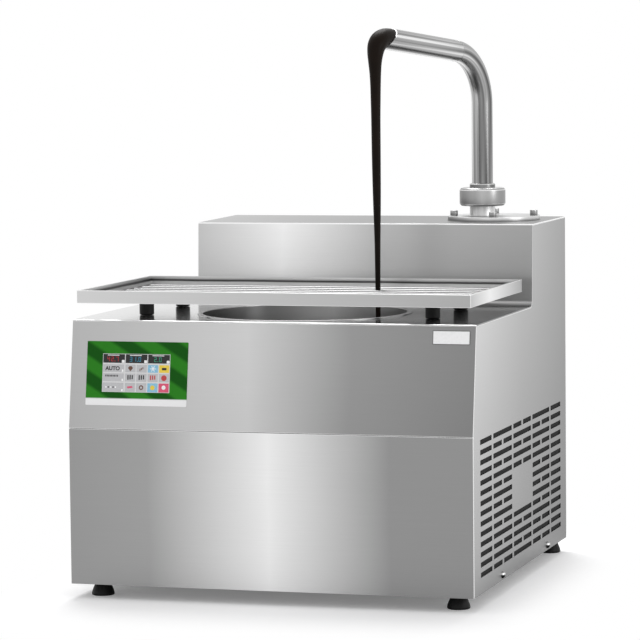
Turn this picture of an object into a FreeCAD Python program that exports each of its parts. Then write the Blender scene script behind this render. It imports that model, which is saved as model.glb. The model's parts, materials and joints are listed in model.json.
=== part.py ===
"""Chocolate tempering machine.

The machine stands on z = 0, its front faces -y and x = 0 is its middle.
Lengths are in millimetres and angles in degrees.
"""
import FreeCAD, Part
import math
import os
import re

import Sketcher

os.makedirs("parts", exist_ok=True)

# Driving dimensions. A "setback" is measured from the front face towards the back,
# a "height" from the ground, and a "reach" from the front face towards the front.
SIZES = {
    # cabinet
    "width": 560,
    "depth": 560,
    "foot_height": 20,
    "sheet": 1.5,
    "upper_rise": 145,
    "seam_gap": 0.5,
    "deck_height": 376,
    "front_lean": 22,
    "hump_rise": 114,
    "hump_setback": 343,
    "hump_lean": 5,
    "hump_inset": 70,
    "hump_skew": 12,
    "deck_bend": 9,
    "pan_flange": 18,
    "panel_return": 15,
    # clearances
    "fit_gap": 0.3,
    "running_gap": 0.05,
    # slots of the right side
    "slot_rows": 14,
    "slot_pitch": 13.5,
    "slot_height": 6.8,
    "slot_long": 107,
    "slot_end": 64,
    "slot_space": 9,
    "slot_first_height": 45,
    "filter_thick": 3,
    "filter_edge": 5.5,
    # slots of the rear
    "rear_slots": 9,
    "rear_slot_length": 120,
    "rear_slot_setover": 150,
    # dome screws of the cabinet
    "dome_radius": 4.8,
    "dome_rise": 3.9,
    "dome_shank": 2,
    "dome_length": 6,
    "dome_height": 27,
    "dome_setback_front": 159,
    "dome_setback_rear": 434,
    # levelling feet
    "pad_radius": 15.5,
    "pad_top_radius": 10.5,
    "stem_radius": 4,
    "stem_length": 24,
    "foot_front_inset": 31,
    "foot_rear_inset": 21,
    "foot_front_setback": 40,
    "foot_rear_setback": 17,
    "nut_radius": 8,
    "nut_height": 6.5,
    # bowl
    "bowl_over": 0,
    "bowl_setback": 178,
    "bowl_radius": 140,
    "bowl_wall": 2,
    "bowl_inside": 199,
    "bowl_corner": 40,
    "rim_radius": 147,
    "rim_rise": 1.5,
    "heater_height": 50,
    "heater_start": 250,
    "heater_wall": 2.5,
    "insulation_wall": 10,
    "insulation_start": 215,
    "insulation_drop": 14.5,
    "chocolate_drop": 47.5,
    "chocolate_crust": 18,
    "chocolate_ring": 9,
    # stirrer
    "shaft_radius": 6,
    "hub_radius": 14,
    "hub_rise": 15,
    "arm_length": 120,
    "arm_height": 18,
    "arm_thick": 8,
    "paddle_width": 12,
    "paddle_drop": 13,
    "scraper_length": 88,
    "seal_radius": 14,
    "bridge_height": 184,
    "bridge_plate": 4,
    "bridge_width": 140,
    "bridge_depth": 80,
    "stirrer_gear_radius": 40,
    "stirrer_gear_height": 48,
    "stirrer_motor_radius": 34,
    "stirrer_motor_height": 86,
    # pump and feed
    "pump_inset": 99.1,
    "pump_share": 0.553,
    "housing_radius": 24,
    "housing_bore": 21,
    "housing_start": 150,
    "screw_shaft": 7,
    "flight_gap": 0.5,
    "flight_pitch": 30,
    "flight_thick": 4,
    "bearing_height": 18,
    "lantern_radius": 35,
    "lantern_wall": 5,
    "coupling_radius": 17,
    "coupling_height": 10,
    "gear_size": 75,
    "gear_height": 115,
    "gear_foot": 6,
    "pump_motor_radius": 35,
    "pump_motor_length": 120,
    "feed_radius": 14,
    "feed_bore": 12,
    "feed_height": 167,
    "feed_bend": 28,
    "outlet_offset": 75,
    "coil_tube": 3,
    "coil_start": 200,
    "coil_pitch": 15,
    "coil_turns": 12,
    # spout
    "flange_radius": 66,
    "flange_thick": 6,
    "flange_side": 16.1,
    "flange_back": 2,
    "cap_circle": 57,
    "cap_phase": 11.6,
    "cap_radius": 5.5,
    "cap_height": 7.5,
    "cap_shank": 3,
    "neck_radius": 18.2,
    "neck_rise": 17,
    "thread_radius": 24,
    "thread_height": 9,
    "gasket_thick": 2,
    "nut_outer": 32.8,
    "nut_lift": 14,
    "nut_tall": 26,
    "nut_chamfer": 3,
    "nut_lip": 8,
    "collar_rise": 6,
    "tube_radius": 15,
    "tube_wall": 1.5,
    "tube_bend": 77,
    "tube_rise": 190,
    "tube_arm": 246,
    "tube_turn": 18.3,
    "tube_climb": 5.7,
    "mouth_slant": 42,
    "stream_reach": 270.5,
    "stream_top": 7,
    "stream_foot": 3.2,
    "stream_drop": 8.4,
    # moulding frame
    "tray_short": 18.5,
    "tray_over": 1.5,
    "tray_reach": 14,
    "tray_depth": 290,
    "tray_stand": 25,
    "tray_rise": 17,
    "tray_rim": 4,
    "tray_ledge": 2,
    "tray_top_band": 6.5,
    "tray_middle_band": 5,
    "bar_width": 30,
    "bar_thick": 3,
    "bar_drop": 2.5,
    "bar_end": 6,
    "bar_inset": 78,
    "bar_shift": 4,
    "grid_rod": 3,
    "grid_rods": 8,
    "grid_first_setback": 25,
    "grid_last_inset": 20,
    "weld": 0.5,
    "tray_foot_radius": 10,
    "tray_foot_round": 2,
    "tray_foot_before": 12,
    "tray_foot_beyond": 7.5,
    "tray_screw_head": 3.6,
    "tray_screw_shank": 2.5,
    "tray_screw_length": 12,
    # touch panel and badge, measured up the leaning front
    "overlay_inset": 94.5,
    "overlay_width": 143,
    "overlay_start": 32,
    "overlay_height": 86,
    "overlay_thick": 0.8,
    "display_inset": 93.5,
    "display_width": 104,
    "display_start": 47,
    "display_height": 56,
    "display_depth": 24,
    "badge_inset": 33,
    "badge_width": 50.5,
    "badge_start": 120.5,
    "badge_height": 18.5,
    "badge_thick": 0.6,
    # electrical pieces
    "supply_width": 100,
    "supply_depth": 160,
    "supply_height": 52,
    "supply_setback": 62,
    "supply_inset": 18,
    "board_depth": 150,
    "board_height": 100,
    "board_setback": 90,
    "board_start": 110,
    "board_thick": 2,
    "board_spacer": 8,
    "inlet_inset": 80,
    "inlet_height": 80,
    "socket_width": 27,
    "socket_height": 20,
    "socket_depth": 24,
    "socket_wall": 2,
    "bezel_width": 48,
    "bezel_height": 28,
    "bezel_proud": 4,
    "pin_length": 14,
    "switch_inset": 145,
    "switch_width": 28,
    "switch_height": 24,
    "switch_depth": 26,
    "rocker_width": 20,
    "rocker_radius": 9,
    "rocker_face": 7,
    "rocker_tilt": 8,
    # cooling
    "compressor_side": 140,
    "compressor_inset": 130,
    "compressor_radius": 75,
    "compressor_start": 42,
    "compressor_height": 170,
    "compressor_foot": 3,
    "mount_radius": 10,
    "mount_offset": 62,
    "condenser_inset": 12,
    "condenser_thick": 28,
    "condenser_setback": 50,
    "condenser_length": 240,
    "condenser_height": 200,
    "fin_count": 22,
    "fin_slot": 4,
    "fin_depth": 8,
    "shroud_gap": 12,
    "fan_radius": 82,
    "fan_hub": 16,
    "fan_depth": 18,
    "fan_blades": 5,
    "fan_pitch": 35,
    "fan_height": 123,
    "fan_motor_radius": 32,
    "fan_motor_length": 38,
    "fan_axle": 4,
    "strap_width": 24,
    "drier_gap": 23.4,
    "drier_inset": 60,
    "drier_radius": 11,
    "drier_start": 200,
    "drier_height": 90,
    "line_radius": 3,
}

# Places worked out from the sizes.
PLACES = {
    "half_width": "width / 2",
    "seam_height": "deck_height - upper_rise",
    "front": "-(depth + bezel_proud - tray_reach) / 2",
    "rear": "front + depth",
    "side_in": "half_width - sheet",
    "pan_top": "foot_height + sheet",
    "deck_under": "deck_height - sheet",
    "lean_slope": "front_lean / upper_rise",
    "lean_angle": "atan(lean_slope)",
    "lean_sin": "sin(lean_angle)",
    "lean_cos": "cos(lean_angle)",
    "deck_front": "front + front_lean",
    "top_height": "deck_height + hump_rise",
    "top_under": "top_height - sheet",
    "hump_foot": "front + hump_setback",
    "hump_slope": "hump_lean / hump_rise",
    "hump_left": "hump_inset - half_width",
    "hump_left_rear": "hump_left - hump_skew",
    "foot_front_x": "half_width - foot_front_inset",
    "foot_rear_x": "half_width - foot_rear_inset",
    "foot_front": "front + foot_front_setback",
    "foot_rear": "rear - foot_rear_setback",
    "bowl_y": "front + bowl_setback",
    "bowl_outer": "bowl_radius + bowl_wall",
    "rim_top": "deck_height + rim_rise",
    "bowl_under": "bowl_inside - bowl_wall",
    "heater_outer": "bowl_outer + heater_wall",
    "insulation_height": "deck_under - insulation_drop - insulation_start",
    "chocolate_level": "rim_top - chocolate_drop",
    "hub_top": "chocolate_level + hub_rise",
    "arm_start": "bowl_inside + bowl_corner",
    "paddle_height": "chocolate_level - chocolate_crust - paddle_drop - arm_start",
    "pump_setback": "hump_setback + pump_share * (depth - hump_setback)",
    "pump_y": "front + pump_setback",
    "pump_over": "half_width - pump_inset",
    "feed_dx": "pump_over - bowl_over",
    "feed_dy": "pump_setback - bowl_setback",
    "feed_run": "sqrt(feed_dx * feed_dx + feed_dy * feed_dy)",
    "feed_angle": "atan2(feed_dy; feed_dx)",
    "outlet_x": "bowl_over + outlet_offset * feed_dx / feed_run",
    "outlet_y": "bowl_y + outlet_offset * feed_dy / feed_run",
    "flight_radius": "housing_bore - flight_gap",
    "bearing_start": "housing_start - bearing_height",
    "coil_radius": "housing_radius + coil_tube + fit_gap",
    "flange_top": "top_height + flange_thick",
    "flange_over": "pump_over + flange_side",
    "flange_y": "pump_y + flange_back",
    "tube_bore": "tube_radius - tube_wall",
    "thread_start": "flange_top + neck_rise",
    "gasket_start": "thread_start + thread_height",
    "collar_start": "gasket_start + gasket_thick + fit_gap",
    "nut_start": "flange_top + nut_lift",
    "nut_end": "nut_start + nut_tall",
    "collar_step": "nut_end - nut_lip - fit_gap",
    "spout_turn": "-(90 + tube_turn)",
    "tube_corner": "nut_end + tube_rise",
    "bend_cut": "tube_bend * tan((90 - tube_climb) / 2)",
    "mouth_x": "tube_arm * cos(tube_climb)",
    "mouth_z": "tube_corner + tube_arm * sin(tube_climb)",
    "stream_start": "mouth_z - stream_drop",
    "mouth_angle": "tube_climb + mouth_slant",
    "tray_front": "front - tray_reach",
    "tray_width": "width - tray_short",
    "tray_left": "half_width + tray_over - tray_width",
    "grid_span": "tray_depth - tray_reach - grid_first_setback - grid_last_inset",
    "grid_pitch": "grid_span / (grid_rods - 1)",
    "tray_foot_front": "grid_first_setback + 3 * grid_pitch - tray_foot_before",
    "tray_foot_rear": "grid_first_setback + grid_span + tray_foot_beyond",
    "tray_height": "deck_height + tray_stand",
    "tray_top": "tray_height + tray_rise",
    "tray_wall": "tray_rim + 2 * tray_ledge",
    "bar_left": "bar_inset - half_width - bar_shift",
    "bar_right": "half_width - bar_inset - bar_shift",
    "bar_start": "front + grid_first_setback - bar_end",
    "bar_base": "tray_height - bar_drop",
    "bar_top": "bar_base + bar_thick",
    "socket_out": "rear + bezel_proud",
    "pivot_y": "socket_out - rocker_radius",
    "overlay_over": "overlay_inset - half_width",
    "display_over": "display_inset - half_width",
    "badge_over": "half_width - badge_inset",
    "inlet_over": "inlet_inset - half_width",
    "switch_over": "switch_inset - half_width",
    "compressor_over": "compressor_side - half_width",
    "compressor_y": "rear - compressor_inset",
    "compressor_top": "compressor_start + compressor_height",
    "condenser_x": "side_in - condenser_inset - condenser_thick",
    "condenser_y": "front + condenser_setback",
    "shroud_x": "condenser_x - shroud_gap",
    "fan_y": "condenser_y + condenser_length / 2",
    "fan_x": "shroud_x - fan_depth - fit_gap",
    "strap_x": "fan_x - 2 * fan_axle - fan_motor_length",
    "drier_over": "pump_over - gear_size / 2 - pump_motor_length - drier_gap",
    "drier_y": "rear - drier_inset",
}

WORD = re.compile(r"[a-z][a-z_]*[a-z]")
AXES = {"x": FreeCAD.Vector(1, 0, 0), "y": FreeCAD.Vector(0, 1, 0), "z": FreeCAD.Vector(0, 0, 1)}
MARGIN = 5      # how far a cutting tool stands out of what it cuts

doc = FreeCAD.newDocument("tempering_machine")
subparts = []


# ---------------------------------------------------------------- helpers

def rule(text):
    """Put the sheet's name before every size and place named in a formula."""
    def owned(found):
        word = found.group()
        if word in SIZES:
            return "sizes." + word
        if word in PLACES:
            return "places." + word
        return word
    return WORD.sub(owned, str(text))


def number(text):
    """Work out a formula as a plain number."""
    found = doc.getObject("places").evalExpression(rule(text))
    return float(getattr(found, "Value", found))


def write_sheet(name, entries):
    """Fill a spreadsheet with one named cell for each entry."""
    sheet = doc.addObject("Spreadsheet::Sheet", name)
    for row, (alias, entry) in enumerate(entries.items(), 1):
        sheet.set("A%d" % row, alias)
        sheet.set("B%d" % row, entry)
        sheet.setAlias("B%d" % row, alias)


def locate(thing, at, turn=None):
    """Bind a place, and a turn given as (axis, angle)."""
    for axis, text in zip("xyz", at):
        thing.setExpression("Placement.Base." + axis, rule(text))
    if turn:
        axis, angle = turn
        thing.Placement.Rotation = FreeCAD.Rotation(AXES[axis], number(angle))
        thing.setExpression("Placement.Rotation.Angle", rule(angle))
    return thing


def box(name, corner, size, turn=None):
    """A block from its lowest corner and its size."""
    thing = doc.addObject("Part::Box", name)
    for side, text in zip(("Length", "Width", "Height"), size):
        thing.setExpression(side, rule(text))
    return locate(thing, corner, turn)


def rod(name, start, radius, length, along="z"):
    """A cylinder that runs from its start along an axis."""
    thing = doc.addObject("Part::Cylinder", name)
    thing.setExpression("Radius", rule(radius))
    thing.setExpression("Height", rule(length))
    turn = {"x": ("y", 90), "y": ("x", -90), "z": None}[along]
    return locate(thing, start, turn)


def cone(name, start, radii, length):
    """A frustum that rises from its start."""
    thing = doc.addObject("Part::Cone", name)
    thing.setExpression("Radius1", rule(radii[0]))
    thing.setExpression("Radius2", rule(radii[1]))
    thing.setExpression("Height", rule(length))
    return locate(thing, start)


def join(name, pieces):
    """Fuse pieces into one solid."""
    thing = doc.addObject("Part::MultiFuse", name)
    thing.Shapes = pieces
    thing.Refine = True
    return thing


def group(name, pieces):
    """Keep separate solids together."""
    thing = doc.addObject("Part::Compound", name)
    thing.Links = pieces
    return thing


def cut(name, base, tools):
    """Take tools away from a base."""
    thing = doc.addObject("Part::Cut", name)
    thing.Base = base
    thing.Tool = tools[0] if len(tools) == 1 else group(name + "_tools", tools)
    return thing


def common(name, first, second):
    """Keep what two pieces share."""
    thing = doc.addObject("Part::Common", name)
    thing.Base = first
    thing.Tool = second
    return thing


def drawing(body, name, role, offset=0):
    """An empty sketch on one of the body's own origin planes."""
    sketch = body.newObject("Sketcher::SketchObject", name)
    plane = next(item for item in body.Origin.OriginFeatures if item.Role == role)
    sketch.AttachmentSupport = [(plane, "")]
    sketch.MapMode = "FlatFace"
    sketch.setExpression("AttachmentOffset.Base.z", rule(offset))
    return sketch


def pin(sketch, geometry, point, place):
    """Bind one point of a sketch to a place in it."""
    for kind, text in zip(("DistanceX", "DistanceY"), place):
        index = sketch.addConstraint(Sketcher.Constraint(kind, -1, 1, geometry, point, number(text)))
        sketch.setExpression("Constraints[%d]" % index, rule(text))


def polygon(sketch, points):
    """A closed outline with every corner bound."""
    corners = [FreeCAD.Vector(number(x), number(y), 0) for x, y in points]
    for first, last in zip(corners, corners[1:] + corners[:1]):
        sketch.addGeometry(Part.LineSegment(first, last))
    for index, place in enumerate(points):
        following = (index + 1) % len(points)
        sketch.addConstraint(Sketcher.Constraint("Coincident", index, 2, following, 1))
        pin(sketch, index, 1, place)


def circle(sketch, radius, centre=(0, 0)):
    """A bound circle."""
    middle = FreeCAD.Vector(number(centre[0]), number(centre[1]), 0)
    index = sketch.addGeometry(Part.Circle(middle, AXES["z"], number(radius)))
    pin(sketch, index, 3, centre)
    size = sketch.addConstraint(Sketcher.Constraint("Radius", index, number(radius)))
    sketch.setExpression("Constraints[%d]" % size, rule(radius))


def padded(name, role, points, start, length):
    """A body padded from an outline: YZ_Plane pads along x and XY_Plane along z."""
    body = doc.addObject("PartDesign::Body", name)
    outline = drawing(body, name + "_outline", role, start)
    polygon(outline, points)
    pad = body.newObject("PartDesign::Pad", name + "_pad")
    pad.Profile = outline
    pad.setExpression("Length", rule(length))
    return body


def turned(name, points, at=(0, 0, 0)):
    """A body turned about its z axis from an outline of (radius, height) corners."""
    body = doc.addObject("PartDesign::Body", name)
    outline = drawing(body, name + "_outline", "XZ_Plane")
    polygon(outline, points)
    turning = body.newObject("PartDesign::Revolution", name + "_turning")
    turning.Profile = outline
    turning.ReferenceAxis = (outline, ["V_Axis"])
    turning.Angle = 360
    return locate(body, at)


def rounded(body, rounds):
    """Fillet a body's edges: each round is (radius, {bound of the edge's box: formula})."""
    for count, (radius, bounds) in enumerate(rounds):
        doc.recompute()
        base = body.Tip
        wanted = {bound: number(text) for bound, text in bounds.items()}
        edges = [
            "Edge%d" % index
            for index, edge in enumerate(base.Shape.Edges, 1)
            if all(abs(getattr(edge.BoundBox, bound) - size) < 0.01 for bound, size in wanted.items())
        ]
        fillet = body.newObject("PartDesign::Fillet", "%s_round_%d" % (body.Name, count))
        fillet.Base = (base, edges)
        fillet.setExpression("Radius", rule(radius))
    return body


def elbow(name, radii, run):
    """A tube with one bend in the body's XZ plane.

    The run gives (x, z) of the start, the bend's start, centre and end, and the end.
    """
    body = doc.addObject("PartDesign::Body", name)
    section = drawing(body, name + "_section", "XY_Plane", run[0][1])
    for radius in radii:
        circle(section, radius)
    path = drawing(body, name + "_path", "XZ_Plane")
    start, bend_start, centre, bend_end, end = [
        FreeCAD.Vector(number(x), number(z), 0) for x, z in run]
    angles = [math.atan2(p.y - centre.y, p.x - centre.x) for p in (bend_start, bend_end)]
    forward = (angles[1] - angles[0]) % (2 * math.pi) < math.pi
    first, last = angles if forward else angles[::-1]
    bend = Part.Circle(centre, AXES["z"], (bend_start - centre).Length)
    path.addGeometry(Part.LineSegment(start, bend_start))
    path.addGeometry(Part.ArcOfCircle(bend, first, last))
    path.addGeometry(Part.LineSegment(bend_end, end))
    path.addConstraint(Sketcher.Constraint("Coincident", 0, 2, 1, 1 if forward else 2))
    path.addConstraint(Sketcher.Constraint("Coincident", 1, 2 if forward else 1, 2, 1))
    for geometry, point, place in ((0, 1, run[0]), (0, 2, run[1]), (2, 1, run[3]), (2, 2, run[4])):
        pin(path, geometry, point, place)
    index = path.addConstraint(Sketcher.Constraint("DistanceX", -1, 1, 1, 3, number(run[2][0])))
    path.setExpression("Constraints[%d]" % index, rule(run[2][0]))
    doc.recompute()
    pipe = body.newObject("PartDesign::AdditivePipe", name + "_pipe")
    pipe.Profile = section
    pipe.Spine = (path, ["Edge1", "Edge2", "Edge3"])
    return body


def wound(name, section, pitch, height, at):
    """A helix about z, wound from a section that draws itself on the body's XZ plane."""
    body = doc.addObject("PartDesign::Body", name)
    sketch = drawing(body, name + "_section", "XZ_Plane")
    section(sketch)
    doc.recompute()
    helix = body.newObject("PartDesign::AdditiveHelix", name + "_helix")
    helix.Profile = sketch
    helix.ReferenceAxis = (sketch, ["V_Axis"])
    helix.Mode = 0
    helix.setExpression("Pitch", rule(pitch))
    helix.setExpression("Height", rule(height))
    helix.Angle = 0
    helix.Growth = 0
    return locate(body, at)


def bent_line(name, points, radius, bend):
    """A thin tube along points given in the machine's frame, with an arc at each corner."""
    places = [FreeCAD.Vector(*[number(text) for text in point]) for point in points]
    edges = []
    start = places[0]
    for before, corner, after in zip(places, places[1:], places[2:]):
        back = (before - corner).normalize()
        onward = (after - corner).normalize()
        half_turn = (math.pi - back.getAngle(onward)) / 2
        setoff = bend * math.tan(half_turn)
        inward = (back + onward).normalize() * (bend / math.cos(half_turn) - bend)
        arc_start = corner + back * setoff
        arc_end = corner + onward * setoff
        edges.append(Part.LineSegment(start, arc_start).toShape())
        edges.append(Part.Arc(arc_start, corner + inward, arc_end).toShape())
        start = arc_end
    edges.append(Part.LineSegment(start, places[-1]).toShape())
    ring = Part.makeCircle(radius, places[0], places[1] - places[0])
    tube = Part.Wire(edges).makePipeShell([Part.Wire([ring])], True, False)
    thing = doc.addObject("Part::Feature", name)
    thing.Shape = tube
    return thing


def dome_screw(name, at, along):
    """A dome-headed screw: `at` is the middle of its seat, and `along` (axis, side) points outwards."""
    axis, side = along
    radius = number("(dome_radius * dome_radius + dome_rise * dome_rise) / (2 * dome_rise)")
    head = doc.addObject("Part::Sphere", name + "_head")
    head.Radius = radius
    head.Angle1 = math.degrees(math.asin(1 - number("dome_rise") / radius))
    head.Placement.Base.z = number("dome_rise") - radius
    shank = rod(name + "_shank", (0, 0, "-dome_length"), "dome_shank", "dome_length + dome_rise / 2")
    screw = join(name, [head, shank])
    turn = {("x", 1): ("y", 90), ("x", -1): ("y", -90), ("y", 1): ("x", -90)}[axis, side]
    return locate(screw, at, turn)


def on_front(inward, up):
    """(y, z) of a point seen from the seam: inward from the leaning front, and up it."""
    along = "front + (%s) * lean_cos + (%s) * lean_sin" % (inward, up)
    height = "seam_height - (%s) * lean_sin + (%s) * lean_cos" % (inward, up)
    return along, height


def leaning_box(name, left, inward, up, size):
    """A block whose back lies square to the leaning front."""
    y, z = on_front(inward, up)
    return box(name, (left, y, z), size, ("x", "-lean_angle"))


def front_at(height):
    """y of the leaning front at a height."""
    return "front + ((%s) - seam_height) * lean_slope" % height


def hump_at(height):
    """y of the leaning front of the hump at a height."""
    return "hump_foot + ((%s) - deck_height) * hump_slope" % height


def keep(label, thing):
    """Count a piece as a sub-part of the machine."""
    thing.Label = label
    subparts.append(thing)


# ---------------------------------------------------------------- cabinet

FEET = {
    "front_left": ("-foot_front_x", "foot_front"),
    "front_right": ("foot_front_x", "foot_front"),
    "rear_left": ("-foot_rear_x", "foot_rear"),
    "rear_right": ("foot_rear_x", "foot_rear"),
}
SIDE_SCREWS = ("front + dome_setback_front", "front + dome_setback_rear")
REAR_SCREWS = ("-half_width / 2", "0", "half_width / 2")


def side_holes(name, radius):
    """Screw holes through both sides, near the ground."""
    return [
        rod("%s_%d" % (name, index), ("-half_width - %d" % MARGIN, y, "dome_height"), radius,
            "width + 2 * %d" % MARGIN, "x")
        for index, y in enumerate(SIDE_SCREWS)
    ]


def rear_holes(name, radius):
    """Screw holes through the rear, near the ground."""
    return [
        rod("%s_%d" % (name, index), (x, "rear - pan_flange", "dome_height"), radius,
            "pan_flange + %d" % MARGIN, "y")
        for index, x in enumerate(REAR_SCREWS)
    ]


def make_base_pan():
    outer = box("pan_outer", ("-side_in", "front + sheet", "foot_height"),
                ("2 * side_in", "depth - 2 * sheet", "pan_flange"))
    inner = box("pan_inner", ("sheet - side_in", "front + 2 * sheet", "pan_top"),
                ("2 * (side_in - sheet)", "depth - 4 * sheet", "pan_flange"))
    stems = [
        rod("pan_hole_" + corner, (x, y, "foot_height - %d" % MARGIN), "stem_radius + running_gap",
            "sheet + 2 * %d" % MARGIN)
        for corner, (x, y) in FEET.items()
    ]
    tools = stems + side_holes("pan_side_hole", "dome_shank") + rear_holes("pan_rear_hole", "dome_shank")
    keep("base_pan", cut("base_pan", outer, [inner] + tools))


def make_front_panels():
    lower = box("lower_sheet", ("-half_width", "front", "foot_height"),
                ("width", "sheet", "seam_height - seam_gap / 2 - foot_height"))
    lower_return = box("lower_return", ("-side_in", "front", "seam_height - seam_gap / 2 - sheet"),
                       ("2 * side_in", "panel_return", "sheet"))
    keep("front_lower_panel", join("front_lower_panel", [lower, lower_return]))

    start = "seam_height + seam_gap / 2"
    leaning = padded("upper_sheet", "YZ_Plane", [
        (front_at(start), start),
        (front_at(start) + " + sheet", start),
        (front_at("deck_under") + " + sheet", "deck_under"),
        (front_at("deck_under"), "deck_under"),
    ], "-half_width", "width")
    upper_return = box("upper_return", ("-side_in", "front + sheet", start),
                       ("2 * side_in", "panel_return", "sheet"))
    window = leaning_box("display_window", "display_over - display_width / 2 - fit_gap", -MARGIN,
                         "display_start - fit_gap",
                         ("display_width + 2 * fit_gap", 4 * MARGIN, "display_height + 2 * fit_gap"))
    whole = join("upper_whole", [leaning, upper_return])
    keep("front_upper_panel", cut("front_upper_panel", whole, [window]))


def make_deck_panel():
    folded = padded("deck_fold", "YZ_Plane", [
        ("deck_front", "deck_under"),
        (hump_at("deck_under") + " + sheet", "deck_under"),
        (hump_at("top_under") + " + sheet", "top_under"),
        (hump_at("top_under"), "top_under"),
        ("hump_foot", "deck_height"),
        ("deck_front", "deck_height"),
    ], "hump_left", "half_width - hump_left")
    rounded(folded, [
        ("deck_bend", {"YMin": "hump_foot", "YMax": "hump_foot",
                       "ZMin": "deck_height", "ZMax": "deck_height"}),
        ("deck_bend + sheet", {"ZMin": "deck_under", "ZMax": "deck_under",
                               "YMin": hump_at("deck_under") + " + sheet",
                               "YMax": hump_at("deck_under") + " + sheet"}),
    ])
    strip = box("deck_strip", ("-half_width", "deck_front", "deck_under"),
                ("hump_inset + 10 * sheet", "rear - sheet - deck_front", "sheet"))
    whole = join("deck_whole", [folded, strip])
    opening = rod("bowl_opening", ("bowl_over", "bowl_y", "deck_under - %d" % MARGIN),
                  "bowl_outer + fit_gap", "sheet + 2 * %d" % MARGIN)
    keep("deck_panel", cut("deck_panel", whole, [opening]))


def cap_screw_places():
    """(x, y) of the cap screws round the flange."""
    angles = ["cap_phase + %d" % (90 * index) for index in range(4)]
    return [
        ("flange_over + cap_circle * cos(%s)" % angle, "flange_y + cap_circle * sin(%s)" % angle)
        for angle in angles
    ]


def flange_holes(name, radius, start, length):
    """Holes for the shanks of the cap screws."""
    return [
        rod("%s_%d" % (name, index), (x, y, start), radius, length)
        for index, (x, y) in enumerate(cap_screw_places())
    ]


def make_hump_cover():
    outer = padded("hump_outer", "XY_Plane", [
        ("hump_left", "hump_foot"),
        ("half_width", "hump_foot"),
        ("half_width", "rear"),
        ("hump_left_rear", "rear"),
    ], "deck_height", "hump_rise")
    inner = padded("hump_inner", "XY_Plane", [
        ("hump_left + sheet", "hump_foot - %d" % MARGIN),
        ("half_width + %d" % MARGIN, "hump_foot - %d" % MARGIN),
        ("half_width + %d" % MARGIN, "rear + %d" % MARGIN),
        ("hump_left_rear + sheet", "rear + %d" % MARGIN),
    ], "deck_height - %d" % MARGIN, "hump_rise - sheet + %d" % MARGIN)
    before = padded("hump_before", "YZ_Plane", [
        ("hump_foot - %d" % MARGIN, "deck_height - %d" % MARGIN),
        (hump_at("deck_height - %d" % MARGIN) + " + sheet", "deck_height - %d" % MARGIN),
        (hump_at("top_under") + " + sheet", "top_under"),
        (hump_at("top_under"), "top_under"),
        (hump_at("top_height + %d" % MARGIN), "top_height + %d" % MARGIN),
        ("hump_foot - %d" % MARGIN, "top_height + %d" % MARGIN),
    ], "-half_width", "width + %d" % MARGIN)
    behind = box("hump_behind", ("-half_width", "rear - sheet", "deck_height - %d" % MARGIN),
                 ("width + %d" % MARGIN, "sheet + %d" % MARGIN, "hump_rise - sheet + %d" % MARGIN))
    opening = rod("housing_opening", ("pump_over", "pump_y", "top_under - %d" % MARGIN),
                  "housing_radius + fit_gap", "sheet + 2 * %d" % MARGIN)
    holes = flange_holes("cover_hole", "cap_shank", "top_under - %d" % MARGIN, "sheet + 2 * %d" % MARGIN)
    keep("hump_cover", cut("hump_cover", outer, [inner, before, behind, opening] + holes))


def slot_field():
    """Length of the field of slots."""
    return "(2 * slot_end + 3 * slot_long + 4 * slot_space)"


def slot_rows():
    """(name, y, z, length) of every slot of the right side.

    Each row has a short slot at both ends and three bays between them. A bay holds one long slot or two
    half slots, which change over from bay to bay and from row to row, and the middle bay is blank half way.
    """
    half = "((slot_long - slot_space) / 2)"
    field = slot_field()
    start = "front + (depth - %s) / 2" % field
    rows = int(number("slot_rows"))
    blank = range(rows * 5 // 14, rows * 5 // 14 + rows * 4 // 14)
    slots = []
    for row in range(rows):
        z = "slot_first_height - slot_height / 2 + %d * slot_pitch" % row
        slots.append(("near_%d" % row, start, z, "slot_end"))
        slots.append(("far_%d" % row, "%s + %s - slot_end" % (start, field), z, "slot_end"))
        for bay in range(3):
            y = "%s + slot_end + slot_space + %d * (slot_long + slot_space)" % (start, bay)
            if bay == 1 and row in blank:
                continue
            if (row + bay) % 2:
                slots.append(("long_%d_%d" % (row, bay), y, z, "slot_long"))
                continue
            slots.append(("half_%d_%d" % (row, bay), y, z, half))
            slots.append(("other_%d_%d" % (row, bay), "%s + %s + slot_space" % (y, half), z, half))
    return slots


def make_air_filter():
    """The mat behind the slots of the right side."""
    keep("air_filter", box(
        "air_filter",
        ("side_in - fit_gap - filter_thick", "front + (depth - %s) / 2 - filter_edge" % slot_field(),
         "slot_first_height - slot_height / 2 - filter_edge / 2"),
        ("filter_thick", slot_field() + " + 2 * filter_edge",
         "(slot_rows - 1) * slot_pitch + slot_height + filter_edge"),
    ))


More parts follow.
